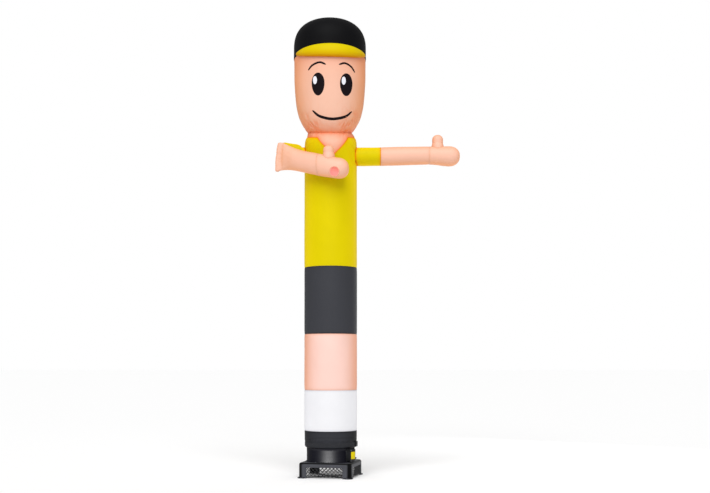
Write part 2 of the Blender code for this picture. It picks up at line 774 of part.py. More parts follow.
def build_motor():
    """The motor's can, held in the drum by four flat struts."""
    motor = cylinder("fan_motor", MOTOR_RADIUS, MOTOR_BOTTOM, MOTOR_TOP, 24)
    reach = DRUM_RADIUS - DRUM_WALL - 0.0012
    middle = 0.5 * (MOTOR_BOTTOM + MOTOR_TOP)
    for degrees in (20.0, 110.0):
        strut = block("strut", (-reach, -0.5 * STRUT_THICKNESS, middle - 0.5 * STRUT_WIDTH),
                      (reach, 0.5 * STRUT_THICKNESS, middle + 0.5 * STRUT_WIDTH))
        strut.rotation_euler.z = math.radians(degrees)
        combine(motor, strut, "UNION")
    smooth(motor)
    paint(motor, "box_plastic")
    return motor


def build_box():
    """The terminal box on the drum, its plain plate and its cable gland."""
    outer = DRUM_RADIUS + BOX_REACH
    half = 0.5 * BOX_WIDTH
    box = block("terminal_box", (0.19, -half, BOX_BOTTOM), (outer, half, BOX_TOP))
    rounding = box.modifiers.new("rounding", "BEVEL")
    rounding.width = 0.004
    rounding.segments = 2
    freeze(box)
    combine(box, cylinder("drum_space", DRUM_RADIUS + 0.0006, 0.10, 0.40, 96), "DIFFERENCE")
    middle = 0.5 * (BOX_BOTTOM + BOX_TOP)
    plate_x = outer + GAP
    plate = block("box_plate", (plate_x, -0.5 * PLATE_SIZE[0], middle - 0.5 * PLATE_SIZE[1]),
                  (plate_x + PLATE_THICKNESS, 0.5 * PLATE_SIZE[0], middle + 0.5 * PLATE_SIZE[1]))
    gland = build_gland(half + GAP, outer - 0.026)
    for piece, name in ((box, "box_plastic"), (plate, "plate_yellow"), (gland, "box_plastic")):
        piece.rotation_euler.z = math.radians(BOX_ANGLE)
        smooth(piece)
        paint(piece, name)


def build_gland(start, x):
    """A stepped cable gland on the box's side, along Y."""
    height = BOX_BOTTOM + 0.030
    rows = [
        # distance from the box, radius
        (0.0, GLAND_RADIUS), (0.008, GLAND_RADIUS), (0.009, 0.009), (0.026, 0.009),
        (GLAND_LENGTH, 0.0065),
    ]
    rings = []
    for ahead, radius in rows:
        ring = []
        for i in range(12):
            angle = -2.0 * math.pi * i / 12
            ring.append(Vector((x + radius * math.cos(angle), start + ahead, height + radius * math.sin(angle))))
        rings.append(ring)
    return skin("cable_gland", rings, close_start=True, close_end=True)


def build_blower():
    """Base, drum, motor, guards and box."""
    turn = turning_empty("blower_turn", BASE_TURN)
    place_under([build_base(), build_motor()], turn)
    build_drum()
    build_guards(turn)
    build_box()


def build_dancer():
    """All the cloth."""
    build_bands()
    build_strap()
    build_shirt()
    build_neck()
    build_head()
    head_turn = turning_empty("head_turn", HEAD_TURN)
    head_turn.location.x = -HEAD_LEAN
    build_cap(head_turn)
    straight_vent = (HAND_END - VENT_FROM_TIP, 3.115, 0.02, 0.20)
    straight_thumb = (THUMB_X, 0.0, 3.18, THUMB_TOP, THUMB_RADIUS)
    build_arm("straight", straight_rows(), straight_vent, straight_thumb)
    bent_vent = (0.043, 2.912, -0.55, -0.37)
    bent_thumb = (-0.012, -0.3495, 3.02, 3.173, 0.052)
    build_arm("bent", bent_rows(), bent_vent, bent_thumb)


clear_scene()
build_blower()
build_dancer()
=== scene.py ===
# %% [markdown]
# # An inflatable air dancer on its blower
#
# An air dancer is a tall figure sewn from thin coated nylon. A fan at its foot blows it up, and
# the air leaves through round vents in its hands. So nearly everything here is cloth under
# pressure: tubes and domes that are smooth in the middle and drawn in where a seam holds them.
# The frame holds the same object as plain solids. Each cell below replaces some of them with
# finished pieces, in the same places and sizes.

# %% Load the frame
import bisect
import math

import bpy
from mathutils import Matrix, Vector, noise


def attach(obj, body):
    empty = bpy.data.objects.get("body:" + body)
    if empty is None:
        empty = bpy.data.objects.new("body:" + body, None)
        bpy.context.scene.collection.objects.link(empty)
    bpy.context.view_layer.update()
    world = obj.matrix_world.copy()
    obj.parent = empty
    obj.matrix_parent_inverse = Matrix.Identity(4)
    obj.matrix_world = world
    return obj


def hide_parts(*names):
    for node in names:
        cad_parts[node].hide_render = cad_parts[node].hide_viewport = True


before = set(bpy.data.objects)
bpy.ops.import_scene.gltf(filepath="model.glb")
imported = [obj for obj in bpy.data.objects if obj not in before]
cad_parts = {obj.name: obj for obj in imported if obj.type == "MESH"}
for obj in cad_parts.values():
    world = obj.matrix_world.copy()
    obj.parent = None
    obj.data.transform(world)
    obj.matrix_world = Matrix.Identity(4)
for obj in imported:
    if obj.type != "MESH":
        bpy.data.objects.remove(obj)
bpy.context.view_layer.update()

# %% [markdown]
# ## The camera first
#
# The figure is photographed from about ten metres away with the camera level and only about
# chest high on a person, so the seams below the lens curve downwards and those above it curve
# upwards. The lens is shifted up to take in the head, as a photographer does to keep a tall
# thing's sides upright. Tilting the camera would make them lean.

# %% Camera
CAMERA_PLACE = Vector((0.238, -10.4, 1.10))
LENS_MM = 53.75
SENSOR_MM = 36.0
SHIFT_UP = 0.1655


def deselect_all():
    """Operators act on what is selected, so everything is let go first."""
    if bpy.context.mode != "OBJECT":
        bpy.ops.object.mode_set(mode="OBJECT")
    bpy.ops.object.select_all(action="DESELECT")


deselect_all()
bpy.ops.object.camera_add(location=CAMERA_PLACE, rotation=(math.radians(90.0), 0.0, 0.0))
camera = bpy.context.active_object
camera.data.lens = LENS_MM
camera.data.sensor_width = SENSOR_MM
camera.data.shift_y = SHIFT_UP
camera.data.clip_end = 200.0
bpy.context.scene.camera = camera
print("camera", tuple(camera.location))

# %% [markdown]
# ## Small tools
#
# A few helpers are enough for the modelling. They make a piece the only selected one, name what
# was just added, apply a modifier with its settings, draw a smooth curve through a few rows of
# measurements, ease a number in and out, and give the soft unevenness that all cloth has. The
# curve keeps flat stretches flat and never swings past a row, which a plain spline would do
# next to a seam.

# %% Helpers for shapes
def pick(piece):
    """Make one piece the only selected and the active one."""
    deselect_all()
    piece.select_set(True)
    bpy.context.view_layer.objects.active = piece


def name_new(name):
    """Name the piece that an operator has just added."""
    piece = bpy.context.active_object
    piece.name = name
    piece.data.name = name
    return piece


def apply_modifier(piece, kind, **settings):
    """Add a modifier with these settings and apply it at once."""
    pick(piece)
    modifier = piece.modifiers.new(kind.lower(), kind)
    for key, value in settings.items():
        setattr(modifier, key, value)
    bpy.ops.object.modifier_apply(modifier=modifier.name)


def curve_through(rows):
    """A smooth curve through rows of (key, value, value, ...), with keys in rising order."""
    keys = [row[0] for row in rows]
    values = [row[1:] for row in rows]
    steps = []
    for i in range(len(rows) - 1):
        span = keys[i + 1] - keys[i]
        steps.append([(b - a) / span for a, b in zip(values[i], values[i + 1])])
    slopes = [steps[0]]
    for before, after in zip(steps, steps[1:]):
        slopes.append([2.0 * a * b / (a + b) if a * b > 0.0 else 0.0 for a, b in zip(before, after)])
    slopes.append(steps[-1])

    def at(key):
        i = min(max(bisect.bisect_right(keys, key) - 1, 0), len(keys) - 2)
        span = keys[i + 1] - keys[i]
        t = min(max((key - keys[i]) / span, 0.0), 1.0)
        out = []
        for a, b, slope_a, slope_b in zip(values[i], values[i + 1], slopes[i], slopes[i + 1]):
            rise = (2.0 * t ** 3 - 3.0 * t ** 2 + 1.0) * a + (3.0 * t ** 2 - 2.0 * t ** 3) * b
            lean = (t ** 3 - 2.0 * t ** 2 + t) * slope_a + (t ** 3 - t ** 2) * slope_b
            out.append(rise + span * lean)
        return out
    return at


def ease(value, low, high):
    """0 below low, 1 above high, and a smooth rise between them."""
    share = min(1.0, max(0.0, (value - low) / (high - low)))
    return share * share * (3.0 - 2.0 * share)


def uneven(point, across, up, seed):
    """Soft noise from -1 to 1 whose waves are about across wide and up tall, in metres."""
    return noise.noise(Vector((point.x / across + seed, point.y / across, point.z / up)))


test_curve = curve_through([(0.0, 1.0), (1.0, 2.0), (2.0, 2.0)])
print("curve halfway up and on the flat:", test_curve(0.5), test_curve(1.5))

# %% [markdown]
# ## Cutting and rolling a panel
#
# A sewing room cuts each panel flat and closes it into a tube with one long seam. The same is
# done here. A flat grid is the cut cloth. Its points are then moved to where they stand when
# the figure is blown up, and the two long edges are merged. The flat grid's own map stays with
# the piece in metres, so that the weave runs with the threads. The rows are packed closer near
# the two ends, because that is where a seam puckers the cloth. Each point also keeps a number,
# "to_seam", its distance in metres from the nearest sewn edge, and "crease", from 0 on smooth
# cloth to 1 at the bottom of a sharp fold. The materials read both.

# %% Helpers for cloth
CLOTH_SHOWN = 0.0012         # thickness drawn; the real cloth is about 0.1 mm
CLOTH_SHARP = 55.0           # degrees between faces past which the cloth is drawn as an edge
ROW_CROWDING = 0.75          # 0 spaces the rows evenly, 1 packs them most at the ends
MERGED_WITHIN = 0.00005


def crowded(share):
    """Packs rows towards both ends of a panel."""
    return (1.0 - ROW_CROWDING) * share + ROW_CROWDING * (0.5 - 0.5 * math.cos(math.pi * share))


def evenly(share):
    """Leaves the rows evenly spaced."""
    return share


def make_panel(name, columns, rows, place, size, spacing=crowded):
    """Cuts a flat grid, moves each point to its place and sews the two long edges together.

    A place comes with its distance to a seam and its crease. A row that has shrunk to a point
    is closed to a pole.
    """
    deselect_all()
    bpy.ops.mesh.primitive_grid_add(x_subdivisions=columns, y_subdivisions=rows, size=1.0)
    panel = name_new(name)
    mesh = panel.data
    flat = [(point.co.x + 0.5, spacing(point.co.y + 0.5)) for point in mesh.vertices]
    corners = mesh.uv_layers.active.data
    for corner in mesh.loops:
        across, up = flat[corner.vertex_index]
        corners[corner.index].uv = (across * size[0], up * size[1])
    placed = [place(across, up) for across, up in flat]
    for column, field in ((1, "to_seam"), (2, "crease")):
        mesh.attributes.new(field, "FLOAT", "POINT")
        for kept, result in zip(mesh.attributes[field].data, placed):
            kept.value = result[column]
    for point, result in zip(mesh.vertices, placed):
        point.co = result[0]
    pick(panel)
    bpy.ops.object.mode_set(mode="EDIT")
    bpy.ops.mesh.select_all(action="SELECT")
    bpy.ops.mesh.remove_doubles(threshold=MERGED_WITHIN)
    bpy.ops.object.mode_set(mode="OBJECT")
    return panel


def finish(piece, material, slot, *nodes, lining=None, thickness=0.0, sharp=38.0):
    """Gives a shaped piece its finish, thickness, smooth shading and place in the frame."""
    piece.data.materials.clear()
    piece.data.materials.append(material)
    if lining:
        piece.data.materials.append(lining)
    if thickness:
        apply_modifier(piece, "SOLIDIFY", thickness=thickness, offset=-1.0,
                       material_offset=1 if lining else 0)
    pick(piece)
    bpy.ops.object.shade_smooth_by_angle(angle=math.radians(sharp))
    if nodes:
        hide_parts(*nodes)
    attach(piece, "root")
    print(piece.name, len(piece.data.polygons), "faces")


def finish_cloth(panel, node, material, slot, flat, lining=None):
    """The same for a stretched sheet of cloth; flat, the size that it was cut to, is not used."""
    finish(panel, material, slot, node, lining=lining, thickness=CLOTH_SHOWN, sharp=CLOTH_SHARP)


print("a panel's rows start at", [round(crowded(row / 96.0), 4) for row in range(4)])

# %% [markdown]
# ## Making materials
#
# Colours are written as the hex codes that a painter picks on a screen, and one function turns
# them to the linear numbers that the renderer wants. One more function adds a node with its
# settings and links. Every finish ends in the same way: a pattern makes its colour and its
# roughness vary a little, and a relief is drawn by bump.

# %% Helpers for materials
def colour(code):
    """Linear red, green, blue and alpha of an sRGB hex code."""
    parts = [int(code[i:i + 2], 16) / 255.0 for i in (0, 2, 4)]
    linear = [p / 12.92 if p <= 0.04045 else ((p + 0.055) / 1.055) ** 2.4 for p in parts]
    return (*linear, 1.0)


def link(tree, source, socket):
    """Links an output, or a node's first live output, to a socket."""
    if isinstance(source, bpy.types.Node):
        source = next(output for output in source.outputs if output.enabled)
    tree.links.new(source, socket)


def add_node(tree, kind, inputs=None, **settings):
    """Adds a shader node; an input is a number, a colour, an output or another node."""
    node = tree.nodes.new("ShaderNode" + kind)
    for key, value in settings.items():
        setattr(node, key, value)
    for key, value in (inputs or {}).items():
        if isinstance(value, (bpy.types.Node, bpy.types.NodeSocket)):
            link(tree, value, node.inputs[key])
        else:
            node.inputs[key].default_value = value
    return node


def new_material(name, **sockets):
    """A material whose constants sit on the shader's own sockets."""
    material = bpy.data.materials.new(name)
    material.use_nodes = True
    tree = material.node_tree
    shader = tree.nodes["Principled BSDF"]
    for key, value in sockets.items():
        shader.inputs[key.replace("_", " ")].default_value = value
    return material, tree, shader


def weather(tree, shader, base, pattern, tones, roughs, relief, depth, strength=0.8, span=(0.3, 0.7)):
    """Varies colour and roughness over the span of a pattern, and raises a relief to a depth."""
    spread = {"Value": pattern, "From Min": span[0], "From Max": span[1]}
    tone = add_node(tree, "MapRange", {**spread, "To Min": tones[0], "To Max": tones[1]})
    shine = add_node(tree, "MapRange", {**spread, "To Min": roughs[0], "To Max": roughs[1]})
    worn = add_node(tree, "HueSaturation", {"Color": base, "Value": tone})
    bump = add_node(tree, "Bump", {"Height": relief, "Distance": depth, "Strength": strength})
    for node, socket in ((worn, "Base Color"), (shine, "Roughness"), (bump, "Normal")):
        link(tree, node, shader.inputs[socket])
    return worn, shine


print("mid grey is", [round(part, 3) for part in colour("808080")[:3]])

# %% [markdown]
# ## Floor and light
#
# Photographs like this one are lit by large soft boxes in a white room. The main light comes from
# beside the camera and well above it, so the round body is brightest near its middle and falls
# off to both sides. It is made as a sun with a very wide disc, because a sun lights the floor
# evenly all the way to the horizon. A lamp behind on the right draws a thin bright rim along that
# side. The camera sees the room as white, but the room lights the figure less than that, as it
# does where the backdrop stands far behind.

# %% Floor and lamps
def soft_box(name, place, aim, width, height, power):
    """A flat lamp at one place that looks at another."""
    deselect_all()
    bpy.ops.object.light_add(type="AREA", location=place)
    lamp = name_new(name)
    lamp.data.shape = "RECTANGLE"
    lamp.data.size = width
    lamp.data.size_y = height
    lamp.data.energy = power
    lamp.rotation_euler = (Vector(aim) - Vector(place)).to_track_quat("-Z", "Y").to_euler()
    lamp.visible_camera = False
    return lamp


FLOOR_LIFT = 0.09            # brings the floor up to the white of the backdrop
ROOM_LIGHT = 0.40            # how much of the room's white falls on the figure
KEY_POWER, FLOOR_SIZE = 2.65, 400.0
KEY_ACROSS, KEY_UP, KEY_DISC = math.radians(-5.0), math.radians(45.0), math.radians(50.0)

deselect_all()
bpy.ops.mesh.primitive_plane_add(size=FLOOR_SIZE)
floor = name_new("floor")
paint, tree, shader = new_material("matt_white_paint", Base_Color=colour("f7f7f7"), Roughness=0.9,
                                   Emission_Color=colour("ffffff"), Emission_Strength=FLOOR_LIFT)
floor.data.materials.append(paint)
deselect_all()
bpy.ops.object.light_add(type="SUN", location=(0.0, -8.0, 8.0))
key = name_new("key_lamp")
key.data.energy = KEY_POWER
key.data.angle = KEY_DISC
key_side = Vector((math.sin(KEY_ACROSS), -math.cos(KEY_ACROSS), math.tan(KEY_UP)))
key.rotation_euler = key_side.to_track_quat("Z", "Y").to_euler()
soft_box("rim_lamp", (3.4, 4.4, 2.4), (0.0, 0.0, 2.2), 3.0, 3.0, 25.0)
room = bpy.data.worlds.new("white_room")
room.use_nodes = True
tree = room.node_tree
seen = add_node(tree, "LightPath")
level = add_node(tree, "MapRange", {"Value": seen.outputs["Is Camera Ray"], "To Min": ROOM_LIGHT})
tree.nodes["Background"].inputs["Color"].default_value = colour("ffffff")
link(tree, level, tree.nodes["Background"].inputs["Strength"])
bpy.context.scene.world = room
bpy.context.scene.view_settings.view_transform = "Standard"
print("a wide sun, a rim lamp and a white room")

# %% [markdown]
# ## Coated ripstop nylon
#
# The figure's cloth is ripstop nylon, woven from fine flat yarn with a thicker thread every few
# millimetres, then coated so that it holds air. The coating gives a soft satin shine, and the
# thicker threads stand up as a faint grid. Near a seam the doubled cloth is darker or warmer, and
# that seam colour also serves as painted shade in the seam's groove. A crease is painted darker,
# as painted shade, and two materials add a wider painted shade: round the neck, under the chin,
# on the forehead below the peak and on the peak's underside. A row of stitches runs beside each
# seam. All of that follows the cut cloth, so the nodes read the panel's own map and the two
# numbers kept on its points. Most cloths also have painted shade and light by which way they
# face: the skin-coloured cloth is painted pale on its front and back and deeper towards its
# sides, and the other colours turn lighter or darker there. The nodes read which way the cloth
# faces in the object's own space.
# The real threads are about 0.3 mm apart, too fine to show, so the weave is drawn at 1.2 mm.
# Lengths here and below are in metres.

# %% The cloth
RIPSTOP_SQUARE, RIPSTOP_THREAD = 0.005, 0.0006
WEAVE_PITCH = 0.0012
STITCH_PITCH = 0.006         # half of a stitch and its gap
STITCH_GAP, STITCH_HALF = 0.0014, 0.0005     # half of the gap, and of the thread's width
STITCH_LINE = 0.0042         # distance of the stitches from the seam
SEAM_REACH = 0.0080          # how far from a seam its colour is seen, partly painted shade
PAINTED_SHADE_REACH = 0.045          # how far the wider painted shade reaches from a seam's line
CREASE_SHADE = 0.55          # how much of the seam colour a sharp fold takes, as painted shade


def ripstop(name, cloth, seam, stitch, side=None, painted_shade=0.0, roughness=0.50, specular=0.22):
    """Coated ripstop nylon in one colour, with its seam colour, its painted shade and light, and its sewing
    thread.
    """
    material, tree, shader = new_material(name, IOR=1.53, Specular_IOR_Level=specular)
    cut = add_node(tree, "UVMap")
    sides = add_node(tree, "SeparateXYZ", {"Vector": cut})
    edge = add_node(tree, "Attribute", attribute_name="to_seam").outputs["Fac"]
    threads = []
    for axis in ("X", "Y"):
        square = add_node(tree, "Math", {0: sides.outputs[axis], 1: RIPSTOP_SQUARE}, operation="PINGPONG")
        threads.append(add_node(tree, "MapRange", {"Value": square, "From Max": RIPSTOP_THREAD,
                                "To Min": 1.0, "To Max": 0.0}, interpolation_type="SMOOTHSTEP"))
    grid = add_node(tree, "Math", {0: threads[0], 1: threads[1]}, operation="MAXIMUM")
    weave = add_node(tree, "TexNoise", {"Vector": cut, "Scale": 1.0 / WEAVE_PITCH, "Detail": 1.0})
    cloud = add_node(tree, "TexNoise", {"Vector": cut, "Scale": 3.0, "Detail": 3.0})
    # Painted shade and light: the colour turns to the side colour where the cloth faces sideways.
    facing = add_node(tree, "NewGeometry").outputs["Normal"]
    facing = add_node(tree, "SeparateXYZ", {"Vector": facing}).outputs["Y"]
    facing = add_node(tree, "Math", {0: facing}, operation="ABSOLUTE")
    turned = add_node(tree, "MapRange", {"Value": facing, "From Min": 0.25, "To Min": 1.0, "To Max": 0.0},
                      interpolation_type="SMOOTHSTEP")
    layers = [(turned, side or cloth)]
    # The wide reach is painted shade; the narrow one is the doubled seam colour, partly painted shade too.
    for reach, most in ((PAINTED_SHADE_REACH, painted_shade), (SEAM_REACH, 1.0)):
        fold = add_node(tree, "Math", {0: edge, 1: -1.0 / reach}, operation="MULTIPLY")
        fold = add_node(tree, "Math", {0: fold}, operation="EXPONENT")
        layers.append((add_node(tree, "Math", {0: fold, 1: most}, operation="MULTIPLY"), seam))
    # A crease is painted darker, as painted shade.
    deep = add_node(tree, "Attribute", attribute_name="crease").outputs["Fac"]
    deep = add_node(tree, "Math", {0: deep, 1: CREASE_SHADE}, operation="MULTIPLY", use_clamp=True)
    beside = add_node(tree, "Math", {0: edge, 1: STITCH_LINE, 2: STITCH_HALF}, operation="COMPARE")
    dash = add_node(tree, "Math", {0: sides.outputs["X"], 1: STITCH_PITCH}, operation="PINGPONG")
    dash = add_node(tree, "Math", {0: dash, 1: STITCH_GAP}, operation="GREATER_THAN")
    sewn = add_node(tree, "Math", {0: beside, 1: dash}, operation="MULTIPLY")
    base = colour(cloth)
    for share, code in (*layers, (deep, seam), (sewn, stitch)):
        base = add_node(tree, "Mix", {0: share, 6: base, 7: colour(code)}, data_type="RGBA")
    relief = add_node(tree, "Math", {0: weave, 1: 0.35, 2: grid}, operation="MULTIPLY_ADD")
    relief = add_node(tree, "Math", {0: sewn, 1: 2.5, 2: relief}, operation="MULTIPLY_ADD")
    weather(tree, shader, base, cloud, (0.965, 1.02), (roughness - 0.03, roughness + 0.04),
            relief, 0.00012, strength=0.7)
    return material


# A side colour is painted shade or light towards the cloth's sides.
YELLOW = ripstop("ripstop_nylon_yellow", "d0be00", "e65a00", "d09800", side="ebd000", specular=0.05)
YELLOW_PLAIN = ripstop("ripstop_nylon_yellow_painted_underside_shade", "d0be00", "cc7400", "d09800", painted_shade=0.75, specular=0.05)
CHARCOAL = ripstop("ripstop_nylon_charcoal", "37383d", "1c1d22", "4a4b50", side="303136", specular=0.12)
WHITE = ripstop("ripstop_nylon_white", "dddde0", "b8b8c0", "e8e8ea", side="f0f0f4")
BLACK = ripstop("ripstop_nylon_black", "0b0b0d", "050506", "1c1c20", specular=0.06, roughness=0.55)
BOOT_BLACK = ripstop("ripstop_nylon_black_boot", "303136", "101114", "383940", side="101114", specular=0.08)
SKIN = ripstop("ripstop_nylon_skin", "e9b59e", "dfa88c", "dca080", side="f4ac80")
SKIN_PALE = ripstop("ripstop_nylon_skin_pale", "e9c3b8", "dc9c80", "dcb09c", side="eeaa8a")
SKIN_HEAD = ripstop("ripstop_nylon_skin_head_painted_shade", "e3b39c", "ee7e4e", "dca080", side="eaa070", painted_shade=0.60)
print("nine cloth finishes")

# %% [markdown]
# The cloth is thin enough to let light through, so a hand is bright inside, as its air vent
# shows. Real translucency would need thousands of samples, so the inner face has a faint glow,
# weaker where that wall turns down, away from the light above.

# %% The inside of a hand
LINING_GLOW = 0.36
SKIN_LINING = ripstop("ripstop_nylon_skin_inside", "eebca4", "e09070", "dca080")
tree = SKIN_LINING.node_tree
shader = tree.nodes["Principled BSDF"]
wall = add_node(tree, "NewGeometry").outputs["Normal"]
wall = add_node(tree, "SeparateXYZ", {"Vector": wall}).outputs["Z"]
lit = add_node(tree, "MapRange", {"Value": wall, "From Min": -0.35, "From Max": 0.30})
glow = add_node(tree, "Mix", {0: lit, 6: colour("b4564c"), 7: colour("ffc8cc")}, data_type="RGBA")
link(tree, glow, shader.inputs["Emission Color"])
shader.inputs["Emission Strength"].default_value = LINING_GLOW
print("the lining glows at", LINING_GLOW)

# %% [markdown]
# ## Where the tube's surface lies
#
# The whole figure hangs on one idea: a function that gives the surface point for an angle round
# the tube and a height. The radius comes from a curve through a few rows. The head leans and
# its chin drops a little at the front, so heights near the neck are "nodded" before they are
# used. Turn 0 is the seam at the back and turn 0.5 is the middle of the chest.

# %% The tube
SOCK_BOTTOM, LEG_BOTTOM, SHORTS_BOTTOM = 0.451, 0.847, 1.391
SHIRT_BOTTOM, SHIRT_TOP = 2.042, 3.319
NECK_PINCH, PINCH_RADIUS, PINCH_GAP = 3.3633, 0.217, 0.0002
TUBE_RADIUS, TUBE_COLUMNS = 0.256, 192
TUBE_ROUND = 2.0 * math.pi * TUBE_RADIUS
CHEST_TURN, HEAD_TURN, FACE_TURN = math.radians(7.0), math.radians(5.0), math.radians(6.6)
SEAM_GAP = 0.0003            # each panel ends this far from the seam's line


def nodded(y, height):
    """Height after the head's nod, which drops the front and the back."""
    amount = ease(height, 3.08, 3.30) * (1.0 - ease(height, 3.40, 3.80))
    return height + amount * (0.107 * y - 0.382 * y * y)


def lean(height):
    """How far the head stands to the bent arm's side."""
    return -0.008 * ease(height, 3.322, 3.372)


def tube_point(turn, height, radius, twist=CHEST_TURN):
    """The point at a share of a turn from the back seam, before any relief."""
    angle = math.radians(90.0) + twist + 2.0 * math.pi * turn
    x, y = radius * math.cos(angle), radius * math.sin(angle)
    return Vector((x + lean(height), y, nodded(y, height)))


def pushed(point, distance, centre=(0.0, 0.0)):
    """Moves a point outwards from an upright axis."""
    out = Vector((point.x - centre[0], point.y - centre[1], 0.0))
    return point + out.normalized() * distance


def crease_line(value, sharp=2.4):
    """-1 where a noise passes through 0, and a quick rise to 0 on both sides of that line."""
    return -(1.0 - min(1.0, sharp * abs(value))) ** 2


def creased(point, across, up, seed):
    """Folds like those of a drawn-in seam: rounded puffs (0) with sharp creases (-1) between."""
    return crease_line(uneven(point, across, up, seed))


def seam_relief(point, distance, seed, pull=0.0014, pucker=0.0011, reach=0.028):
    """How far a seam draws the cloth in, and the small puckers beside it."""
    groove = -pull * math.exp(-distance / 0.006)
    small = pucker * math.exp(-distance / reach) * (creased(point, 0.030, 0.055, seed) + 0.3)
    return groove + small


def body_relief(point, seed):
    """The slight unevenness of a long tube of cloth under pressure."""
    wide = 0.0011 * uneven(point, 0.16, 0.42, seed)
    return wide + 0.0005 * uneven(point, 0.05, 0.14, seed + 7.0)


print("front of the chest", tube_point(0.5, 2.7, TUBE_RADIUS))

# %% [markdown]
# ## Four plain bands
#
# From the floor up come a black boot, a white sock, a bare leg and dark shorts. Each is one
# length of cloth, 1.61 m round, sewn to the next along a level seam. The air swells each band
# by a millimetre or two between its seams. The boot is narrower at its foot, where a webbing
# strap ties it round the blower's drum.

# %% Bands
BAND_FOLDS = 150.0           # how fast a fold's depth in metres turns to its shade


def straight_rows(bottom, top):
    """Radii of a band whose two seams hold it in a little."""
    swollen = TUBE_RADIUS + 0.0018
    return [(bottom, TUBE_RADIUS), (bottom + 0.05, swollen), (top - 0.05, swollen), (top, TUBE_RADIUS)]


BOOT_ROWS = [(0.285, 0.2361), (0.291, 0.2450), (0.299, 0.2510), (0.344, 0.2515), (0.362, 0.2558),
             (SOCK_BOTTOM, TUBE_RADIUS)]


def boot_creases(point):
    """The strap gathers the boot's foot, and one soft crease runs across its front left."""
    gathered = math.exp(-abs(point.z - 0.352) / 0.022) * 0.0034 * creased(point, 0.024, 0.05, 3.1)
    along = math.exp(-((point.z - 0.383 - 0.02 * uneven(point, 0.3, 1.0, 8.8)) / 0.006) ** 2)
    return gathered - 0.0022 * along * ease(-point.y, 0.02, 0.16)


def make_band(name, rows, material, slot, seed, extra=None, lower_seam=True):
    """One level band of the tube."""
    bottom, top = rows[0][0] + SEAM_GAP, rows[-1][0]
    cut = (TUBE_ROUND, top - bottom)
    radius_at = curve_through(rows)

    def place(across, up):
        height = bottom + (top - bottom) * up
        point = tube_point(across, height, radius_at(height)[0])
        edge = min(height - bottom if lower_seam else 1.0, top - height)
        out = seam_relief(point, edge, 1.0) + ease(edge, 0.0, 0.08) * body_relief(point, seed)
        fold = extra(point) if extra else 0.0
        # The boot's lower hem is painted darker, as painted shade of its underside.
        hem_painted_shade = 0.0 if lower_seam else 1.0 - ease(height - bottom, 0.002, 0.011)
        return pushed(point, out + fold), edge, hem_painted_shade - BAND_FOLDS * fold

    panel = make_panel(name.replace("_band", "_cloth"), TUBE_COLUMNS, 96, place, cut)
    finish_cloth(panel, name, material, slot, cut)


make_band("boot_band", BOOT_ROWS, BOOT_BLACK, "black_ripstop", 11.0, boot_creases, lower_seam=False)
make_band("sock_band", straight_rows(SOCK_BOTTOM, LEG_BOTTOM), WHITE, "white_ripstop", 12.0)
make_band("leg_band", straight_rows(LEG_BOTTOM, SHORTS_BOTTOM), SKIN_PALE, "skin_ripstop", 13.0)
make_band("shorts_band", straight_rows(SHORTS_BOTTOM, SHIRT_BOTTOM), CHARCOAL, "charcoal_ripstop", 14.0)

# %% [markdown]
# ## Shirt and neck
#
# The shirt is cut with a V at the front. The neck panel fills the V and closes the collar, so
# the two pieces of cloth share one line of sewing. One function gives that line's height for
# each place round the tube, and both panels end on it. The collar is then drawn in hard to the
# neck, which throws sharp gathers, and the two sleeves pull short creases out of the chest.

# %% The line of the V and the collar
V_HALF_WIDTH, V_BOTTOM = 0.147, 3.106
COLLAR_ROWS = [(3.12, TUBE_RADIUS), (3.215, TUBE_RADIUS), (3.262, 0.2545), (3.297, 0.2480),
               (SHIRT_TOP, 0.2365)]
SHIRT_ROWS = [(2.0423, TUBE_RADIUS), (2.092, 0.2578), (2.70, 0.2568)] + COLLAR_ROWS
NECK_ROWS = [(3.08, TUBE_RADIUS)] + COLLAR_ROWS + [(3.338, 0.2290), (NECK_PINCH, PINCH_RADIUS)]


def v_side():
    """Angle from the chest's middle, and height, along one side of the V."""
    rows = []
    for i in range(41):
        share = i / 40.0
        radius = TUBE_RADIUS - 0.0195 * share ** 4
        height = min(SHIRT_TOP, V_BOTTOM + share * (3.321 - V_BOTTOM))
        rows.append((math.asin(share * V_HALF_WIDTH / radius), height))
    return rows


V_SIDE = v_side()
V_CORNER = V_SIDE[-1][0]
v_height = curve_through(V_SIDE)


def collar_height(turn):
    """Height of the seam between shirt and neck."""
    angle = abs(turn - 0.5) * 2.0 * math.pi
    return SHIRT_TOP if angle >= V_CORNER else v_height(angle)[0]


def collar_distance(turn, height):
    """About how far a place lies from that seam, measured square to it."""
    angle = abs(turn - 0.5) * 2.0 * math.pi
    straight = abs(height - collar_height(turn))
    if angle < V_CORNER:
        straight *= 0.56
    elif height < SHIRT_TOP:
        straight = min(straight, math.hypot((angle - V_CORNER) * 0.25, SHIRT_TOP - height))
    return straight


print("V corner at", round(math.degrees(V_CORNER), 1), "degrees from the middle")

# %% Relief of the chest and the neck
ARM_HEIGHT, SLEEVE_ROOT = 3.132, 0.088       # where the sleeves are sewn on, and its radius


def neck_gathers(point, height):
    """Sharp gathers at the pinched neck, which die out up the chin and down the collar."""
    reach = 0.110 if height > NECK_PINCH else 0.050
    fade = math.exp(-abs(height - NECK_PINCH) / reach) * (0.3 + 0.7 * ease(abs(point.x), 0.05, 0.15))
    fine = creased(point, 0.020, 0.09, 21.0) * 0.0055
    broad = creased(point, 0.060, 0.11, 22.0) * 0.0075
    return fade * (fine * fade + broad)


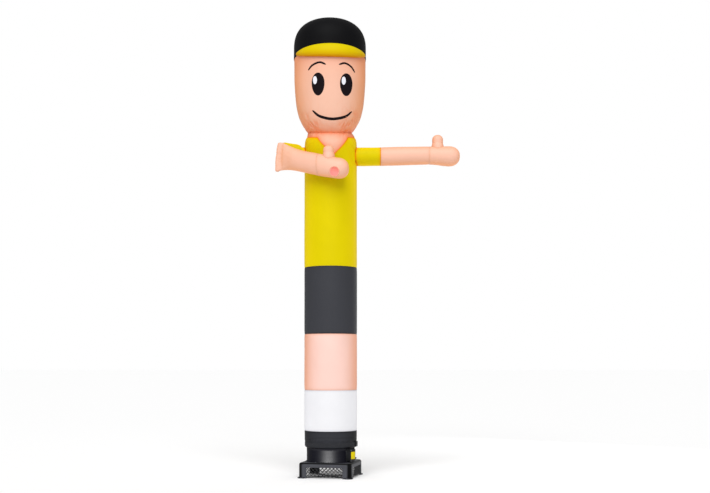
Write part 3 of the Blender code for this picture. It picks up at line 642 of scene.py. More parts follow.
def sleeve_pull(point):
    """Short creases that fan out round each sleeve's root."""
    if abs(point.x) < 0.05:
        return 0.0
    y, z = point.y, point.z - ARM_HEIGHT
    ring = math.hypot(y, z)
    if ring < 0.08:
        return 0.0
    fan = Vector((math.copysign(3.0, point.x) + 2.2 * y / ring, 2.2 * z / ring, ring * 6.0))
    fade = math.exp(-(ring - SLEEVE_ROOT) / 0.055) * ease(abs(point.x), 0.08, 0.17)
    return 0.0060 * crease_line(noise.noise(fan), 2.6) * fade


def chest_relief(turn, height, point):
    """What moves the cloth of shirt and neck in or out, without its creases."""
    out = body_relief(point, 15.0) * (1.0 - ease(height, 3.25, 3.34))
    return out + seam_relief(point, collar_distance(turn, height), 2.0, pull=0.0012)


print("gathers at the pinch:", round(neck_gathers(tube_point(0.4, NECK_PINCH, PINCH_RADIUS), NECK_PINCH), 4))

# %% The two panels
SHIRT_CUT = (TUBE_ROUND, SHIRT_TOP - SHIRT_BOTTOM)
NECK_CUT = (1.36, 0.25)
CHEST_FOLDS = 110.0          # the same as BAND_FOLDS, for shirt and neck


def between(low_at, high_at, rows, seams):
    """A place function for a panel whose two edges may rise and fall round the tube."""
    radius_at = curve_through(rows)

    def place(across, up):
        low, high = low_at(across), high_at(across)
        height = low + (high - low) * up
        point = tube_point(across, height, radius_at(height)[0])
        edge = seams(across, height)
        out = chest_relief(across, height, point)
        if height < 2.2:
            out += seam_relief(point, height - SHIRT_BOTTOM, 1.0)
        fold = neck_gathers(point, height) + sleeve_pull(point)
        return pushed(point, out + fold), edge, -CHEST_FOLDS * fold
    return place


def shirt_seams(turn, height):
    """The shirt's nearest sewn edge: the waist, the collar or a sleeve's root."""
    point = tube_point(turn, height, TUBE_RADIUS)
    root = abs(math.hypot(point.y, point.z - ARM_HEIGHT) - SLEEVE_ROOT)
    nearest = min(height - SHIRT_BOTTOM + 0.03, collar_distance(turn, height))
    return min(nearest, root if abs(point.x) > 0.1 else 1.0)


def neck_seams(turn, height):
    """The neck's nearest sewn edge: the collar or the pinch."""
    return min(collar_distance(turn, height), NECK_PINCH - height)


shirt_place = between(lambda turn: SHIRT_BOTTOM + SEAM_GAP, lambda turn: collar_height(turn) - SEAM_GAP,
                      SHIRT_ROWS, shirt_seams)
shirt = make_panel("shirt_cloth", TUBE_COLUMNS, 150, shirt_place, SHIRT_CUT)
neck_place = between(lambda turn: collar_height(turn) + SEAM_GAP, lambda turn: NECK_PINCH - PINCH_GAP,
                     NECK_ROWS, neck_seams)
neck = make_panel("neck_cloth", TUBE_COLUMNS, 44, neck_place, NECK_CUT, evenly)
print("shirt", len(shirt.data.vertices), "points, neck", len(neck.data.vertices))

# %% [markdown]
# The shirt is left open where a sleeve is sewn on, because the air has to get into the arm.

# %% Arm holes, thickness and finish
ARM_HOLE = 0.078


def pick_parts(piece, kind, chosen):
    """Enters edit mode with only the edges or the faces selected that pass a test."""
    pick(piece)
    bpy.ops.object.mode_set(mode="EDIT")
    bpy.ops.mesh.select_mode(type=kind)
    bpy.ops.mesh.select_all(action="DESELECT")
    bpy.ops.object.mode_set(mode="OBJECT")
    for part in piece.data.edges if kind == "EDGE" else piece.data.polygons:
        part.select = chosen(part)
    bpy.ops.object.mode_set(mode="EDIT")


def pick_faces(piece, chosen):
    """The same for faces whose middle and normal pass a test."""
    pick_parts(piece, "FACE", lambda face: chosen(face.center, face.normal))


def leave_edit():
    """Ends the work in edit mode, which writes the changes to the mesh."""
    bpy.ops.object.mode_set(mode="OBJECT")


pick_faces(shirt, lambda c, n: abs(c.x) > 0.2 and math.hypot(c.y, c.z - ARM_HEIGHT) < ARM_HOLE)
bpy.ops.mesh.delete(type="FACE")
leave_edit()
finish_cloth(shirt, "shirt", YELLOW, "yellow_ripstop", SHIRT_CUT)
finish_cloth(neck, "neck_panel", SKIN_HEAD, "skin_ripstop", NECK_CUT)

# %% [markdown]
# ## Head
#
# The head is one wide bulb of the same cloth. It starts at the pinched neck, swells to a jaw and
# runs almost straight up into the cap, where its edge is tucked out of sight. The pinch leaves
# gathers round the chin, and slack creases run up both cheeks, the longest on the right.

# %% The head's surface
CAP_HEM, HEAD_TOP = 4.078, 4.100
HEAD_CUT = (2.196, 0.80)
HEAD_FOLDS = 130.0           # the same for the head
HEAD_ROWS = [(NECK_PINCH, PINCH_RADIUS), (3.385, 0.2335), (3.420, 0.2570), (3.460, 0.2800),
             (3.510, 0.3010), (3.570, 0.3180), (3.650, 0.3315), (3.760, 0.3415), (3.900, 0.3482),
             (HEAD_TOP, 0.3495)]
head_radius = curve_through(HEAD_ROWS)
CHEEK_PATCHES = ((52.0, 3.490, 21.0, 0.065, 7.0), (-57.0, 3.507, 13.0, 0.026, -13.0),
                 (-37.0, 3.446, 14.0, 0.030, 11.0), (34.0, 3.440, 13.0, 0.030, -9.0))


def cheek_creases(point, height):
    """Slack creases in four patches of (degrees, height, half width, half height, slant)."""
    angle = math.degrees(math.atan2(point.x - lean(height), -point.y))
    total = 0.0
    for degrees, middle, wide, tall, slant in CHEEK_PATCHES:
        patch = math.exp(-((angle - degrees) / wide) ** 2 - ((height - middle) / tall) ** 2)
        leaning = Vector((angle / 8.0 + height * slant, height * 9.0, 4.0))
        total += patch * crease_line(noise.noise(leaning))
    return 0.0080 * total


def head_relief(point, height):
    """What moves the head's cloth in or out, and how much of that is creases."""
    out = body_relief(point, 31.0) * ease(height, 3.42, 3.60)
    fold = neck_gathers(point, height) + cheek_creases(point, height)
    out += seam_relief(point, height - NECK_PINCH, 3.0, pull=0.0006)
    out += 0.0007 * math.exp(-abs(CAP_HEM - height) / 0.03) * creased(point, 0.03, 0.08, 33.0)
    return out + fold, fold


def head_point(turn, height, proud=0.0, twist=CHEST_TURN):
    """A point of the head's surface, or a little in front of it, and its crease."""
    point = tube_point(turn, height, head_radius(height)[0], twist)
    out, fold = head_relief(point, height)
    return pushed(point, out + proud), -HEAD_FOLDS * fold


def place_head(across, up):
    """The head's cloth from the pinched neck to its hidden edge in the cap."""
    rise = (HEAD_TOP - NECK_PINCH) * up
    point, crease = head_point(across, NECK_PINCH + PINCH_GAP + rise)
    # Near the pinch and below the cap the seam distance stays small, so the neck, chin and forehead under
    # the peak take the painted shade.
    return point, min(rise, 0.032 + 0.35 * max(0.0, 4.03 - NECK_PINCH - rise)), crease


head = make_panel("head_cloth", 256, 180, place_head, HEAD_CUT)
finish_cloth(head, "head_panel", SKIN_HEAD, "skin_ripstop", HEAD_CUT)

# %% [markdown]
# ## A plain printed face
#
# The eyes, brows and smile are printed on the cloth. Each is made as a thin skin that lies on the
# head and follows it, so its edge stays crisp. A disc is a panel whose one side shrinks to a
# point. A line is a narrow panel that runs along a few points and is rounded off at both ends.
# Places are given as degrees round the head from the face's middle, and heights.

# %% Printed shapes
INK_PROUD, INK_SHOWN = 0.0006, 0.0004        # the print's height over the cloth, and its thickness
FACE_RADIUS = 0.33


def face_point(degrees, height, proud=INK_PROUD):
    """A point just in front of the head, counted from the middle of the face."""
    return head_point(0.5 + degrees / 360.0, height, proud, FACE_TURN)[0]


def print_disc(name, degrees, height, half_width, half_height, material, slot, proud=INK_PROUD):
    """An upright oval, with its half width in degrees."""
    def place(across, up):
        angle, reach = 2.0 * math.pi * across, 1.0 - up
        return face_point(degrees + half_width * reach * math.cos(angle),
                          height + half_height * reach * math.sin(angle), proud), 1.0, 0.0

    patch = make_panel(name, 64, 14, place, (0.4, 0.1), evenly)
    finish(patch, material, slot, thickness=INK_SHOWN, sharp=CLOTH_SHARP)


def print_line(name, points, width):
    """A black line through points of (degrees, height) with rounded ends."""
    path = curve_through([(i / (len(points) - 1.0), *point) for i, point in enumerate(points)])

    def place(across, up):
        degrees, height = path(across)
        ahead, behind = path(min(1.0, across + 0.01)), path(max(0.0, across - 0.01))
        run = math.radians(ahead[0] - behind[0]) * FACE_RADIUS
        rise = ahead[1] - behind[1]
        length = math.hypot(run, rise)
        side = 0.5 * width * (1.0 - abs(2.0 * across - 1.0) ** 6.0) ** 0.5 * (2.0 * up - 1.0)
        return face_point(degrees - math.degrees(side * rise / length / FACE_RADIUS),
                          height + side * run / length), 1.0, 0.0

    patch = make_panel(name, 96, 6, place, (0.3, width), evenly)
    finish(patch, PRINT_BLACK, "black_ripstop", thickness=INK_SHOWN, sharp=CLOTH_SHARP)


print("middle of the face", face_point(0.0, 3.77))

# %% The face
PRINT_BLACK = ripstop("ripstop_nylon_black_print", "150e12", "150e12", "150e12", specular=0.06)
PRINT_WHITE = ripstop("ripstop_nylon_white_print", "e2e2ea", "e2e2ea", "e2e2ea")
for side, degrees, height, half_width in (("left", -24.8, 3.770, 10.9), ("right", 22.3, 3.769, 11.3)):
    print_disc("eye_" + side, degrees, height, half_width, 0.0985, PRINT_BLACK, "black_ripstop")
for side, degrees, height in (("left", -29.7, 3.801), ("right", 17.2, 3.7965)):
    print_disc("eye_light_" + side, degrees, height, 3.5, 0.037, PRINT_WHITE, "white_ripstop", 0.0011)
print_line("brow_left", [(-41.9, 3.9015), (-33.6, 3.945), (-21.7, 3.965), (-11.4, 3.9415)], 0.0185)
print_line("brow_right", [(8.8, 3.943), (18.7, 3.962), (30.0, 3.938), (38.2, 3.889)], 0.0185)
print_line("smile", [(-37.7, 3.561), (-23.5, 3.513), (-0.2, 3.492), (23.3, 3.509), (37.4, 3.553)], 0.0235)

# %% [markdown]
# ## Cap and peak
#
# The cap is a dome of black cloth, a little squarer than a ball, sewn to the head along its hem.
# The peak is a crescent of yellow cloth that the air fills from the cap. It is thickest in the
# middle and runs out to a point at each temple. Its section is drawn as one closed line, and a
# grid carries that line round the cap.

# %% Cap
CAP_RADIUS, CAP_DOME_START, CAP_DOME_HEIGHT = 0.3525, 4.180, 0.285
CAP_WALL_SHARE = 0.24
CAP_CUT = (2.0 * math.pi * CAP_RADIUS, 0.56)
cap_wall = curve_through([(CAP_HEM, 0.3545), (HEAD_TOP, 0.3531), (CAP_DOME_START, CAP_RADIUS)])


def cap_point(turn, up):
    """A point of the cap: a short upright wall, then a dome that closes at the top."""
    if up < CAP_WALL_SHARE:
        height = CAP_HEM + (CAP_DOME_START - CAP_HEM) * up / CAP_WALL_SHARE
        return tube_point(turn, height, cap_wall(height)[0], HEAD_TURN)
    lift = math.radians(90.0) * (up - CAP_WALL_SHARE) / (1.0 - CAP_WALL_SHARE)
    height = CAP_DOME_START + CAP_DOME_HEIGHT * math.sin(lift) ** 0.8
    return tube_point(turn, height, CAP_RADIUS * max(0.0, math.cos(lift)) ** 0.8, HEAD_TURN)


def place_cap(across, up):
    """Cap points with the hem's puckers and the dome's slight unevenness."""
    point = cap_point(across, up)
    edge = max(0.0, point.z - CAP_HEM)
    flat = Vector((point.x - lean(HEAD_TOP), point.y, 0.0))
    if flat.length < 0.02:
        return point, min(edge, 0.1), 0.0
    out = seam_relief(point, edge, 41.0, pull=0.0016, pucker=0.0018) + 1.3 * body_relief(point, 42.0)
    return pushed(point, out * ease(flat.length, 0.02, 0.15)), min(edge, 0.1), 0.0


cap = make_panel("cap_cloth", TUBE_COLUMNS, 96, place_cap, CAP_CUT, evenly)
finish_cloth(cap, "cap", BLACK, "black_ripstop", CAP_CUT)

# %% Peak
PEAK_HALF_ANGLE, PEAK_INNER = 70.0, 0.3549
OUTSIDE_SHARE = 0.62         # of the way round the peak's section, the rest lies on the cap
peak_section = curve_through([(0.0, 0.06), (0.05, 0.30), (0.14, 0.54), (0.38, 0.87), (0.62, 1.0),
                              (0.84, 0.84), (0.95, 0.56), (1.0, 0.28)])


def peak_point(across, around):
    """A point of the padded crescent; around runs down its outside and back up its inside."""
    along = 2.0 * across - 1.0
    fullness = 1.0 - along * along
    top = 4.106 + 0.035 * fullness
    bottom = 4.086 - 0.077 * max(0.0, fullness) ** 0.8
    puff = 0.005 + 0.034 * max(0.0, fullness) ** 0.7
    outside = around < OUTSIDE_SHARE
    down = around / OUTSIDE_SHARE if outside else 1.0 - (around - OUTSIDE_SHARE) / (1.0 - OUTSIDE_SHARE)
    reach = PEAK_INNER + (puff * peak_section(down)[0] if outside else 0.0)
    shut = math.sqrt(max(0.0, 1.0 - (max(0.0, abs(along) - 0.965) / 0.035) ** 2))
    middle = 0.5 * (top + bottom)
    height = middle + (top - down * (top - bottom) - middle) * shut
    reach = PEAK_INNER + (reach - PEAK_INNER) * shut
    angle = math.radians(-90.0 + PEAK_HALF_ANGLE * along) + HEAD_TURN
    sideways = reach * math.cos(angle) + lean(HEAD_TOP)
    return Vector((sideways, reach * math.sin(angle), height)), down, fullness


def place_peak(across, around):
    """Peak points, drawn in along the cap and puckered along its two sewn edges."""
    point, down, fullness = peak_point(across, around)
    tall = 0.022 + 0.126 * fullness
    edge = min(down, 1.0 - down) * tall
    if around > OUTSIDE_SHARE:
        return point, 0.0, 0.0
    out = 0.0026 * creased(point, 0.040, 0.09, 51.0) * math.exp(-edge / 0.022) * fullness
    out += 0.0012 * uneven(point, 0.12, 0.12, 52.0) * fullness * ease(edge, 0.0, 0.03)
    # Only the lower edge counts here, so the peak's underside takes the painted shade.
    return pushed(point, out * ease(edge, 0.0, 0.012)), (1.0 - down) * tall, 0.0


peak = make_panel("peak_pad", 160, 72, place_peak, (0.92, 0.36), evenly)
finish(peak, YELLOW_PLAIN, "yellow_ripstop", "cap_peak", sharp=60.0)

# %% [markdown]
# ## Arms
#
# Each arm is a sleeve, a forearm and a hand, all the same width of cloth. The straight arm simply
# stands out. The bent one is pressed flat at the elbow and folded back on itself, so it comes
# round in front of the chest. A tube of cloth that is pressed flat gets taller, because the way
# round it can't change, and one function works that height out. The sections along an arm are
# listed from shoulder to finger tip, and a smooth curve runs through them.

# %% Helpers for arms
ARM_RADIUS, ARM_ROUND = 0.089, 0.559


def tall_half(half_depth):
    """Half height of a flattened tube whose way round stays that of the round one."""
    low, high = half_depth * 0.5, ARM_RADIUS * 1.7
    for _ in range(40):
        middle = 0.5 * (low + high)
        total = middle + half_depth
        root = math.sqrt((3.0 * middle + half_depth) * (middle + 3.0 * half_depth))
        if math.pi * (3.0 * total - root) < 2.0 * math.pi * ARM_RADIUS:
            low = middle
        else:
            high = middle
    return middle


def flat_row(x, y, z, heading, half_depth):
    """A section that is pressed flat to a given half depth."""
    return (x, y, z, heading, tall_half(half_depth), half_depth)


def level_row(x, z, half_height, half_depth=None):
    """A section of the arm that stands straight out."""
    return (x, 0.0, z, 0.0, half_height, half_depth or half_height)


def round_end(row, length, drop=0.0):
    """Sections that close a hand beyond its last full one."""
    rows = []
    turn = math.radians(row[3])
    for degrees in (10, 20, 30, 40, 50, 60, 68, 75, 81, 86, 90):
        lift = math.radians(degrees)
        ahead = length * math.sin(lift)
        width = max(0.0, math.cos(lift)) ** 0.85
        rows.append((row[0] + ahead * math.cos(turn), row[1] + ahead * math.sin(turn),
                     row[2] - drop * math.sin(lift), row[3], row[4] * width, row[5] * width))
    return rows


def arm_curve(rows):
    """A smooth run of sections, and its length."""
    run, keyed = 0.0, []
    for i, row in enumerate(rows):
        if i:
            run += math.dist(rows[i - 1][:3], row[:3])
        keyed.append((run, *row))
    return curve_through(keyed), run


def arm_point(curve, along, angle):
    """A point of the arm's skin and the direction that faces out of it."""
    x, y, z, heading, half_height, half_depth = curve(along)
    turn = math.radians(heading)
    side = Vector((-math.sin(turn), math.cos(turn), 0.0))
    up = Vector((0.09 * ease(-x, 0.40, 0.52), 0.0, 1.0))
    point = Vector((x, y, z)) + side * (half_depth * math.cos(angle)) + up * (half_height * math.sin(angle))
    out = side * (math.cos(angle) * half_height) + up * (math.sin(angle) * half_depth)
    return point, out.normalized() if out.length > 1e-9 else Vector((math.cos(turn), math.sin(turn), 0.0))


print("pressed to 24 mm, the arm is", round(2000.0 * tall_half(0.012)), "mm tall")

# %% The sections of both arms
STRAIGHT_SLEEVE = [level_row(0.150, 3.132, 0.089), level_row(0.330, 3.132, 0.0895),
                   level_row(0.4905, 3.134, 0.089)]
STRAIGHT_FOREARM = [level_row(0.4908, 3.134, 0.089), level_row(0.640, 3.138, 0.0893),
                    level_row(0.820, 3.142, 0.0883), level_row(0.964, 3.145, 0.0865)]
STRAIGHT_HAND = [level_row(0.9643, 3.145, 0.0865), level_row(1.000, 3.145, 0.0890),
                 level_row(1.060, 3.142, 0.0920), level_row(1.120, 3.138, 0.0960, 0.0950),
                 level_row(1.1645, 3.1365, 0.0970, 0.0950)]
STRAIGHT_HAND += round_end(STRAIGHT_HAND[-1], 0.102)
BENT_SLEEVE = [flat_row(*row) for row in (
    (-0.150, 0.0, 3.132, 180.0, 0.089), (-0.262, 0.0, 3.134, 180.0, 0.0875),
    (-0.292, 0.0, 3.137, 180.0, 0.068), (-0.332, -0.001, 3.1385, 181.0, 0.056),
    (-0.375, -0.005, 3.140, 186.0, 0.050), (-0.418, -0.0135, 3.141, 195.0, 0.043),
    (-0.446, -0.0235, 3.139, 201.0, 0.035), (-0.466, -0.0325, 3.132, 203.0, 0.0265),
    (-0.4735, -0.0357, 3.131, 203.0, 0.0260))]
FOLD_X, FOLD_Y, FOLD_Z, FOLD_RADIUS = -0.498, -0.075, 3.114, 0.024       # the elbow's turn
elbow_turn = [math.radians(degrees) for degrees in (113, 128, 144, 162, 180, 198, 216, 232, 246)]
BENT_FOREARM = [flat_row(*row) for row in (
    (-0.4739, -0.0359, 3.131, 203.0, 0.0260), (-0.4803, -0.0386, 3.126, 203.0, 0.0230),
    *((FOLD_X + FOLD_RADIUS * math.cos(lift), FOLD_Y + FOLD_RADIUS * math.sin(lift), FOLD_Z,
       math.degrees(lift) + 90.0, 0.012) for lift in elbow_turn),
    (-0.471, -0.108, 3.113, 336.0, 0.022), (-0.440, -0.126, 3.106, 330.0, 0.040),
    (-0.400, -0.150, 3.093, 328.0, 0.054), (-0.317, -0.206, 3.061, 328.0, 0.070),
    (-0.240, -0.2510, 3.034, 331.0, 0.0735), (-0.165, -0.294, 3.012, 336.0, 0.072))]
BENT_FOREARM.append((-0.106, -0.320, 2.995, 341.0, 0.1055, 0.0745))
BENT_HAND = [(-0.1057, -0.3201, 2.995, 341.0, 0.1055, 0.0745),
             (-0.060, -0.337, 2.984, 345.0, 0.1050, 0.0790),
             (-0.010, -0.3495, 2.973, 351.0, 0.1030, 0.0840),
             (0.040, -0.3550, 2.9620, 358.0, 0.0995, 0.0880),
             (0.084, -0.3560, 2.9550, 362.0, 0.0980, 0.0880)]
BENT_HAND += round_end(BENT_HAND[-1], 0.097, 0.004)
print(len(BENT_FOREARM), "sections along the bent forearm")

# %% Sewing an arm's panels
VENT_RADIUS = 0.043
SHOULDER_RADIUS, SHOULDER_START = 0.2563, 0.240      # a sleeve starts just off the shirt's tube
VENT_HEM_PAINTED_SHADE = 350.0            # the hem round a vent is painted darker, as painted shade of its rim
ARM_FOLDS = 120.0            # the same for the arms
ARM_SEAM = math.radians(-105.0)      # the lengthwise seam runs underneath
ELBOW = Vector((-0.51, -0.075, 3.114))


def arm_relief(point, from_start, from_end, seed):
    """Puckers at an arm's two seams and slight unevenness."""
    out = 0.9 * body_relief(point, seed + 3.0)
    for distance in (from_start, from_end):
        out += seam_relief(point, distance, seed, pull=0.0005, pucker=0.0010, reach=0.022)
    return out


def elbow_creases(point, seed):
    """Creases at the folded elbow."""
    near = math.exp(-(point - ELBOW).length / 0.085)
    return 0.0078 * near * creased(point, 0.085, 0.030, seed)


def vent_hem(point, vent):
    """The doubled hem round a hand's air vent stands a little proud."""
    if vent is None or (point.y - vent[2]) * vent[3] < 0.0:
        return 0.0
    reach = math.hypot(point.x - vent[0], point.z - vent[1])
    return 0.0026 * math.exp(-((reach - VENT_RADIUS - 0.005) / 0.0045) ** 2)


def thumb_pull(point, thumb):
    """Creases round a thumb's root."""
    if thumb is None:
        return 0.0
    ring = math.hypot(point.x - thumb[0], point.y - thumb[1])
    above = ease(point.z, thumb[2] - 0.02, thumb[2] + 0.03)
    spread = 2.4 / max(ring, 0.01)
    fan = Vector((spread * (point.x - thumb[0]), spread * (point.y - thumb[1]), 9.0))
    fade = math.exp(-max(0.0, ring - 0.055) / 0.030) * above
    return (0.0030 * crease_line(noise.noise(fan)) - 0.0012) * fade


def sew_arm(name, rows, columns, lines, seed, start=0.0, vent=None, thumb=None):
    """One panel of an arm, still without its thickness; start is where it leaves the body."""
    curve, length = arm_curve(rows)
    closed = rows[-1][4] < 0.001

    def place(across, up):
        along = start + (length - start) * up
        angle = ARM_SEAM + 2.0 * math.pi * across
        point, out = arm_point(curve, along, angle)
        if start:
            shoulder = math.sqrt(SHOULDER_RADIUS ** 2 - point.y ** 2) - SHOULDER_START
            point.x += math.copysign(shoulder * (1.0 - ease(along, 0.09, 0.20)), point.x)
        from_end = 1.0 if closed else length - along
        tip = ease(length - along, 0.0, 0.03) if closed else 1.0
        relief = arm_relief(point, along - start, from_end, seed) * tip
        hem = vent_hem(point, vent)
        fold = elbow_creases(point, seed + 5.0) + thumb_pull(point, thumb)
        # Folds and the vent's hem are painted darker, as painted shade.
        deep = VENT_HEM_PAINTED_SHADE * hem - ARM_FOLDS * fold
        return point + out * (relief + hem + fold), min(along - start, from_end), deep

    cut = (ARM_ROUND, length - start)
    return make_panel(name, columns, lines, place, cut, evenly if closed else crowded), cut


def cut_vent(panel, vent):
    """Cuts the round air vent through one side of a hand."""
    x, z, middle, side = vent
    deselect_all()
    bpy.ops.mesh.primitive_cylinder_add(vertices=64, radius=VENT_RADIUS, depth=0.12,
                                        location=(x, middle + side * 0.10, z),
                                        rotation=(math.radians(90.0), 0.0, 0.0))
    cutter = name_new("vent_cutter")
    apply_modifier(panel, "BOOLEAN", object=cutter, operation="DIFFERENCE", solver="EXACT")
    bpy.data.objects.remove(cutter, do_unlink=True)


print("vents are", round(2000.0 * VENT_RADIUS), "mm across")

# %% Sleeves and forearms
for side, sleeve_rows, forearm_rows, seed in (("straight", STRAIGHT_SLEEVE, STRAIGHT_FOREARM, 61.0),
                                              ("bent", BENT_SLEEVE, BENT_FOREARM, 71.0)):
    sleeve, cut = sew_arm("sleeve_" + side + "_cloth", sleeve_rows, 96, 72, seed, start=0.09)
    finish_cloth(sleeve, "sleeve_" + side, YELLOW, "yellow_ripstop", cut)
    forearm, cut = sew_arm("forearm_" + side + "_cloth", forearm_rows, 96, 150, seed + 2.0)
    finish_cloth(forearm, "forearm_" + side, SKIN, "skin_ripstop", cut)

# %% [markdown]
# ## Hands and thumbs
#
# A hand is a round-ended bag with a thumb sewn on top, and a round vent in its side lets the air
# out. The thumb is its own small tube, closed at the top. Its lower edge has to lie exactly on
# the hand, so each of its points is dropped straight down until it meets the hand's cloth, which
# Blender can find with a ray.

# %% Hands
# A thumb is its place, its foot and top, and its radius. A vent is its x and z, and then the y of
# its hand's middle with the side of that, 1 for back and -1 for front, which it is cut through.
THUMBS = {"straight": (1.048, 0.0, 3.18, 3.346, 0.053), "bent": (-0.012, -0.3495, 3.02, 3.173, 0.052)}
VENTS = {"straight": (1.1135, 3.115, 0.0, 1.0), "bent": (0.043, 2.912, -0.356, -1.0)}


def land(hand, x, y):
    """Height of a hand's top at a place."""
    return hand.ray_cast(Vector((x, y, 3.6)), Vector((0.0, 0.0, -1.0)))[1].z


def sew_thumb(name, hand, thumb, seed, wall=0.62):
    """A round-topped thumb that ends on the hand under it; wall is its upright share."""
    x, y, low, top, radius = thumb
    foot, shoulder = low + 0.085, top - radius * 0.9
    width_at = curve_through([(low, radius * 1.30), (foot - 0.026, radius * 1.12), (foot, radius),
                              (shoulder, radius)])

    def place(across, up):
        angle = 2.0 * math.pi * across
        root = land(hand, x + 1.14 * radius * math.cos(angle), y + 1.14 * radius * math.sin(angle)) - 0.0015
        if up < wall:
            height = root + (shoulder - root) * up / wall
            reach = width_at(height)[0]
        else:
            lift = math.radians(90.0) * (up - wall) / (1.0 - wall)
            height = shoulder + radius * 0.9 * math.sin(lift)
            reach = radius * max(0.0, math.cos(lift)) ** 0.9
        point = Vector((x + reach * math.cos(angle), y + reach * math.sin(angle), height))
        edge = height - root
        pucker = 0.0030 * math.exp(-edge / 0.020) + 0.0018 * ease(height, shoulder - 0.01, shoulder + 0.02)
        out = pucker * (creased(point, 0.022, 0.09, seed) + 0.2) - 0.0015 * math.exp(-edge / 0.005)
        return pushed(point, out * ease(reach, 0.0, 0.02), (x, y)), edge, 0.0

    cut = (2.0 * math.pi * radius, top - land(hand, x + radius, y) + 0.5 * radius)
    return make_panel(name, 64, 48, place, cut, evenly), cut


for side, rows, seed in (("straight", STRAIGHT_HAND, 65.0), ("bent", BENT_HAND, 75.0)):
    hand, cut = sew_arm("hand_" + side + "_cloth", rows, 128, 110, seed, vent=VENTS[side],
                        thumb=THUMBS[side])
    bpy.context.view_layer.update()
    thumb, thumb_cut = sew_thumb("thumb_" + side + "_cloth", hand, THUMBS[side], seed + 3.0)
    finish_cloth(hand, "hand_" + side, SKIN, "skin_ripstop", (0.60, 0.31), lining=SKIN_LINING)
    cut_vent(hand, VENTS[side])
    finish_cloth(thumb, "thumb_" + side, SKIN, "skin_ripstop", thumb_cut)

# %% [markdown]
# ## Finishes of the blower
#
# The base and the terminal box are moulded in black plastic with a fine grain, which scatters
# the light and hides scratches. The base's rounded corners are painted near black, as painted
# shade, so they look deep black beside the greyer faces. The drum is spun from sheet steel and
# coated: spinning leaves fine rings, so its highlight is a tall band broken into streaks. The
# guards are lacquered wire, the strap is polyester webbing, and the plate is enamelled sheet. The
# real grain is about 0.3 mm across, too fine to show, so it is drawn at 1.5 mm.

# %% Plastic, wire and enamel
BASE_TURN = -12.4            # degrees that the blower stands turned under the figure


def grained(name, code, roughness, grain, depth, **sockets):
    """A moulded or coated surface with a grain of the given size in metres."""
    material, tree, shader = new_material(name, **sockets)
    place = add_node(tree, "TexCoord").outputs["Object"]
    fine = add_node(tree, "TexNoise", {"Vector": place, "Scale": 1.0 / grain, "Detail": 2.0})
    wide = add_node(tree, "TexNoise", {"Vector": place, "Scale": 9.0, "Detail": 4.0})
    worn, shine = weather(tree, shader, colour(code), wide, (0.88, 1.14),
                          (roughness - 0.05, roughness + 0.06), fine, depth)
    return material, tree, shader, worn


def paint_corner_shade(tree, shader, worn, code):
    """Paints the parts that face none of the base's six ways near black, as painted shade."""
    facing = add_node(tree, "NewGeometry").outputs["Normal"]
    square = add_node(tree, "VectorRotate", {"Vector": facing, "Angle": math.radians(-BASE_TURN)},
                      rotation_type="Z_AXIS")
    square = add_node(tree, "VectorMath", {0: square}, operation="ABSOLUTE")
    parts = add_node(tree, "SeparateXYZ", {"Vector": square}).outputs
    most = add_node(tree, "Math", {0: parts["X"], 1: parts["Y"]}, operation="MAXIMUM")
    most = add_node(tree, "Math", {0: most, 1: parts["Z"]}, operation="MAXIMUM")
    corner = add_node(tree, "MapRange", {"Value": most, "From Min": 0.90, "From Max": 0.985,
                      "To Min": 1.0, "To Max": 0.0})
    mixed = add_node(tree, "Mix", {0: corner, 6: worn, 7: colour(code)}, data_type="RGBA")
    link(tree, mixed, shader.inputs["Base Color"])


BASE_PLASTIC, *base_nodes = grained("moulded_polypropylene_black", "45464b", 0.44, 0.0015, 0.0002, IOR=1.49,
                                    Specular_IOR_Level=0.10)
# The rounded corners are painted near black, as painted shade.
paint_corner_shade(*base_nodes, "050506")
BOX_PLASTIC = grained("moulded_abs_black", "0c0d10", 0.42, 0.0012, 0.00012, IOR=1.54,
                      Specular_IOR_Level=0.3)[0]
WIRE_LACQUER = grained("lacquered_wire_black", "121316", 0.36, 0.0020, 0.0001, IOR=1.5)[0]
PLATE_ENAMEL = grained("enamelled_sheet_yellow", "d0bc00", 0.38, 0.0030, 0.00005, IOR=1.5,
                       Specular_IOR_Level=0.12)[0]
SCREW_ZINC = grained("zinc_plated_steel", "9a9ca0", 0.34, 0.0010, 0.00004, Metallic=1.0)[0]
print("five finishes")

# %% Spun steel and webbing
RING_PITCH = 0.0016          # the spinning tool's marks are about 0.8 mm apart
RUBBED_FROM = 0.270          # above this the boot's hem has rubbed the coat matt
RIB_SLANT = math.radians(52.0)


def spun_steel(name, code):
    """Coated sheet steel that keeps the rings of its spinning."""
    material, tree, shader = new_material(name, IOR=1.5, Specular_IOR_Level=0.04)
    place = add_node(tree, "TexCoord").outputs["Object"]
    flat = add_node(tree, "Mapping", {"Vector": place, "Scale": (0.6, 0.6, 0.5 / RING_PITCH)})
    rings = add_node(tree, "TexNoise", {"Vector": flat, "Scale": 1.0, "Detail": 3.0})
    shine = weather(tree, shader, colour(code), rings, (0.75, 1.3), (0.38, 0.52), rings, 0.0005)[1]
    height = add_node(tree, "SeparateXYZ", {"Vector": place}).outputs["Z"]
    rubbed = add_node(tree, "MapRange", {"Value": height, "From Min": RUBBED_FROM - 0.004,
                      "From Max": RUBBED_FROM, "To Max": 0.5})
    link(tree, add_node(tree, "Math", {0: shine, 1: rubbed}), shader.inputs["Roughness"])
    return material


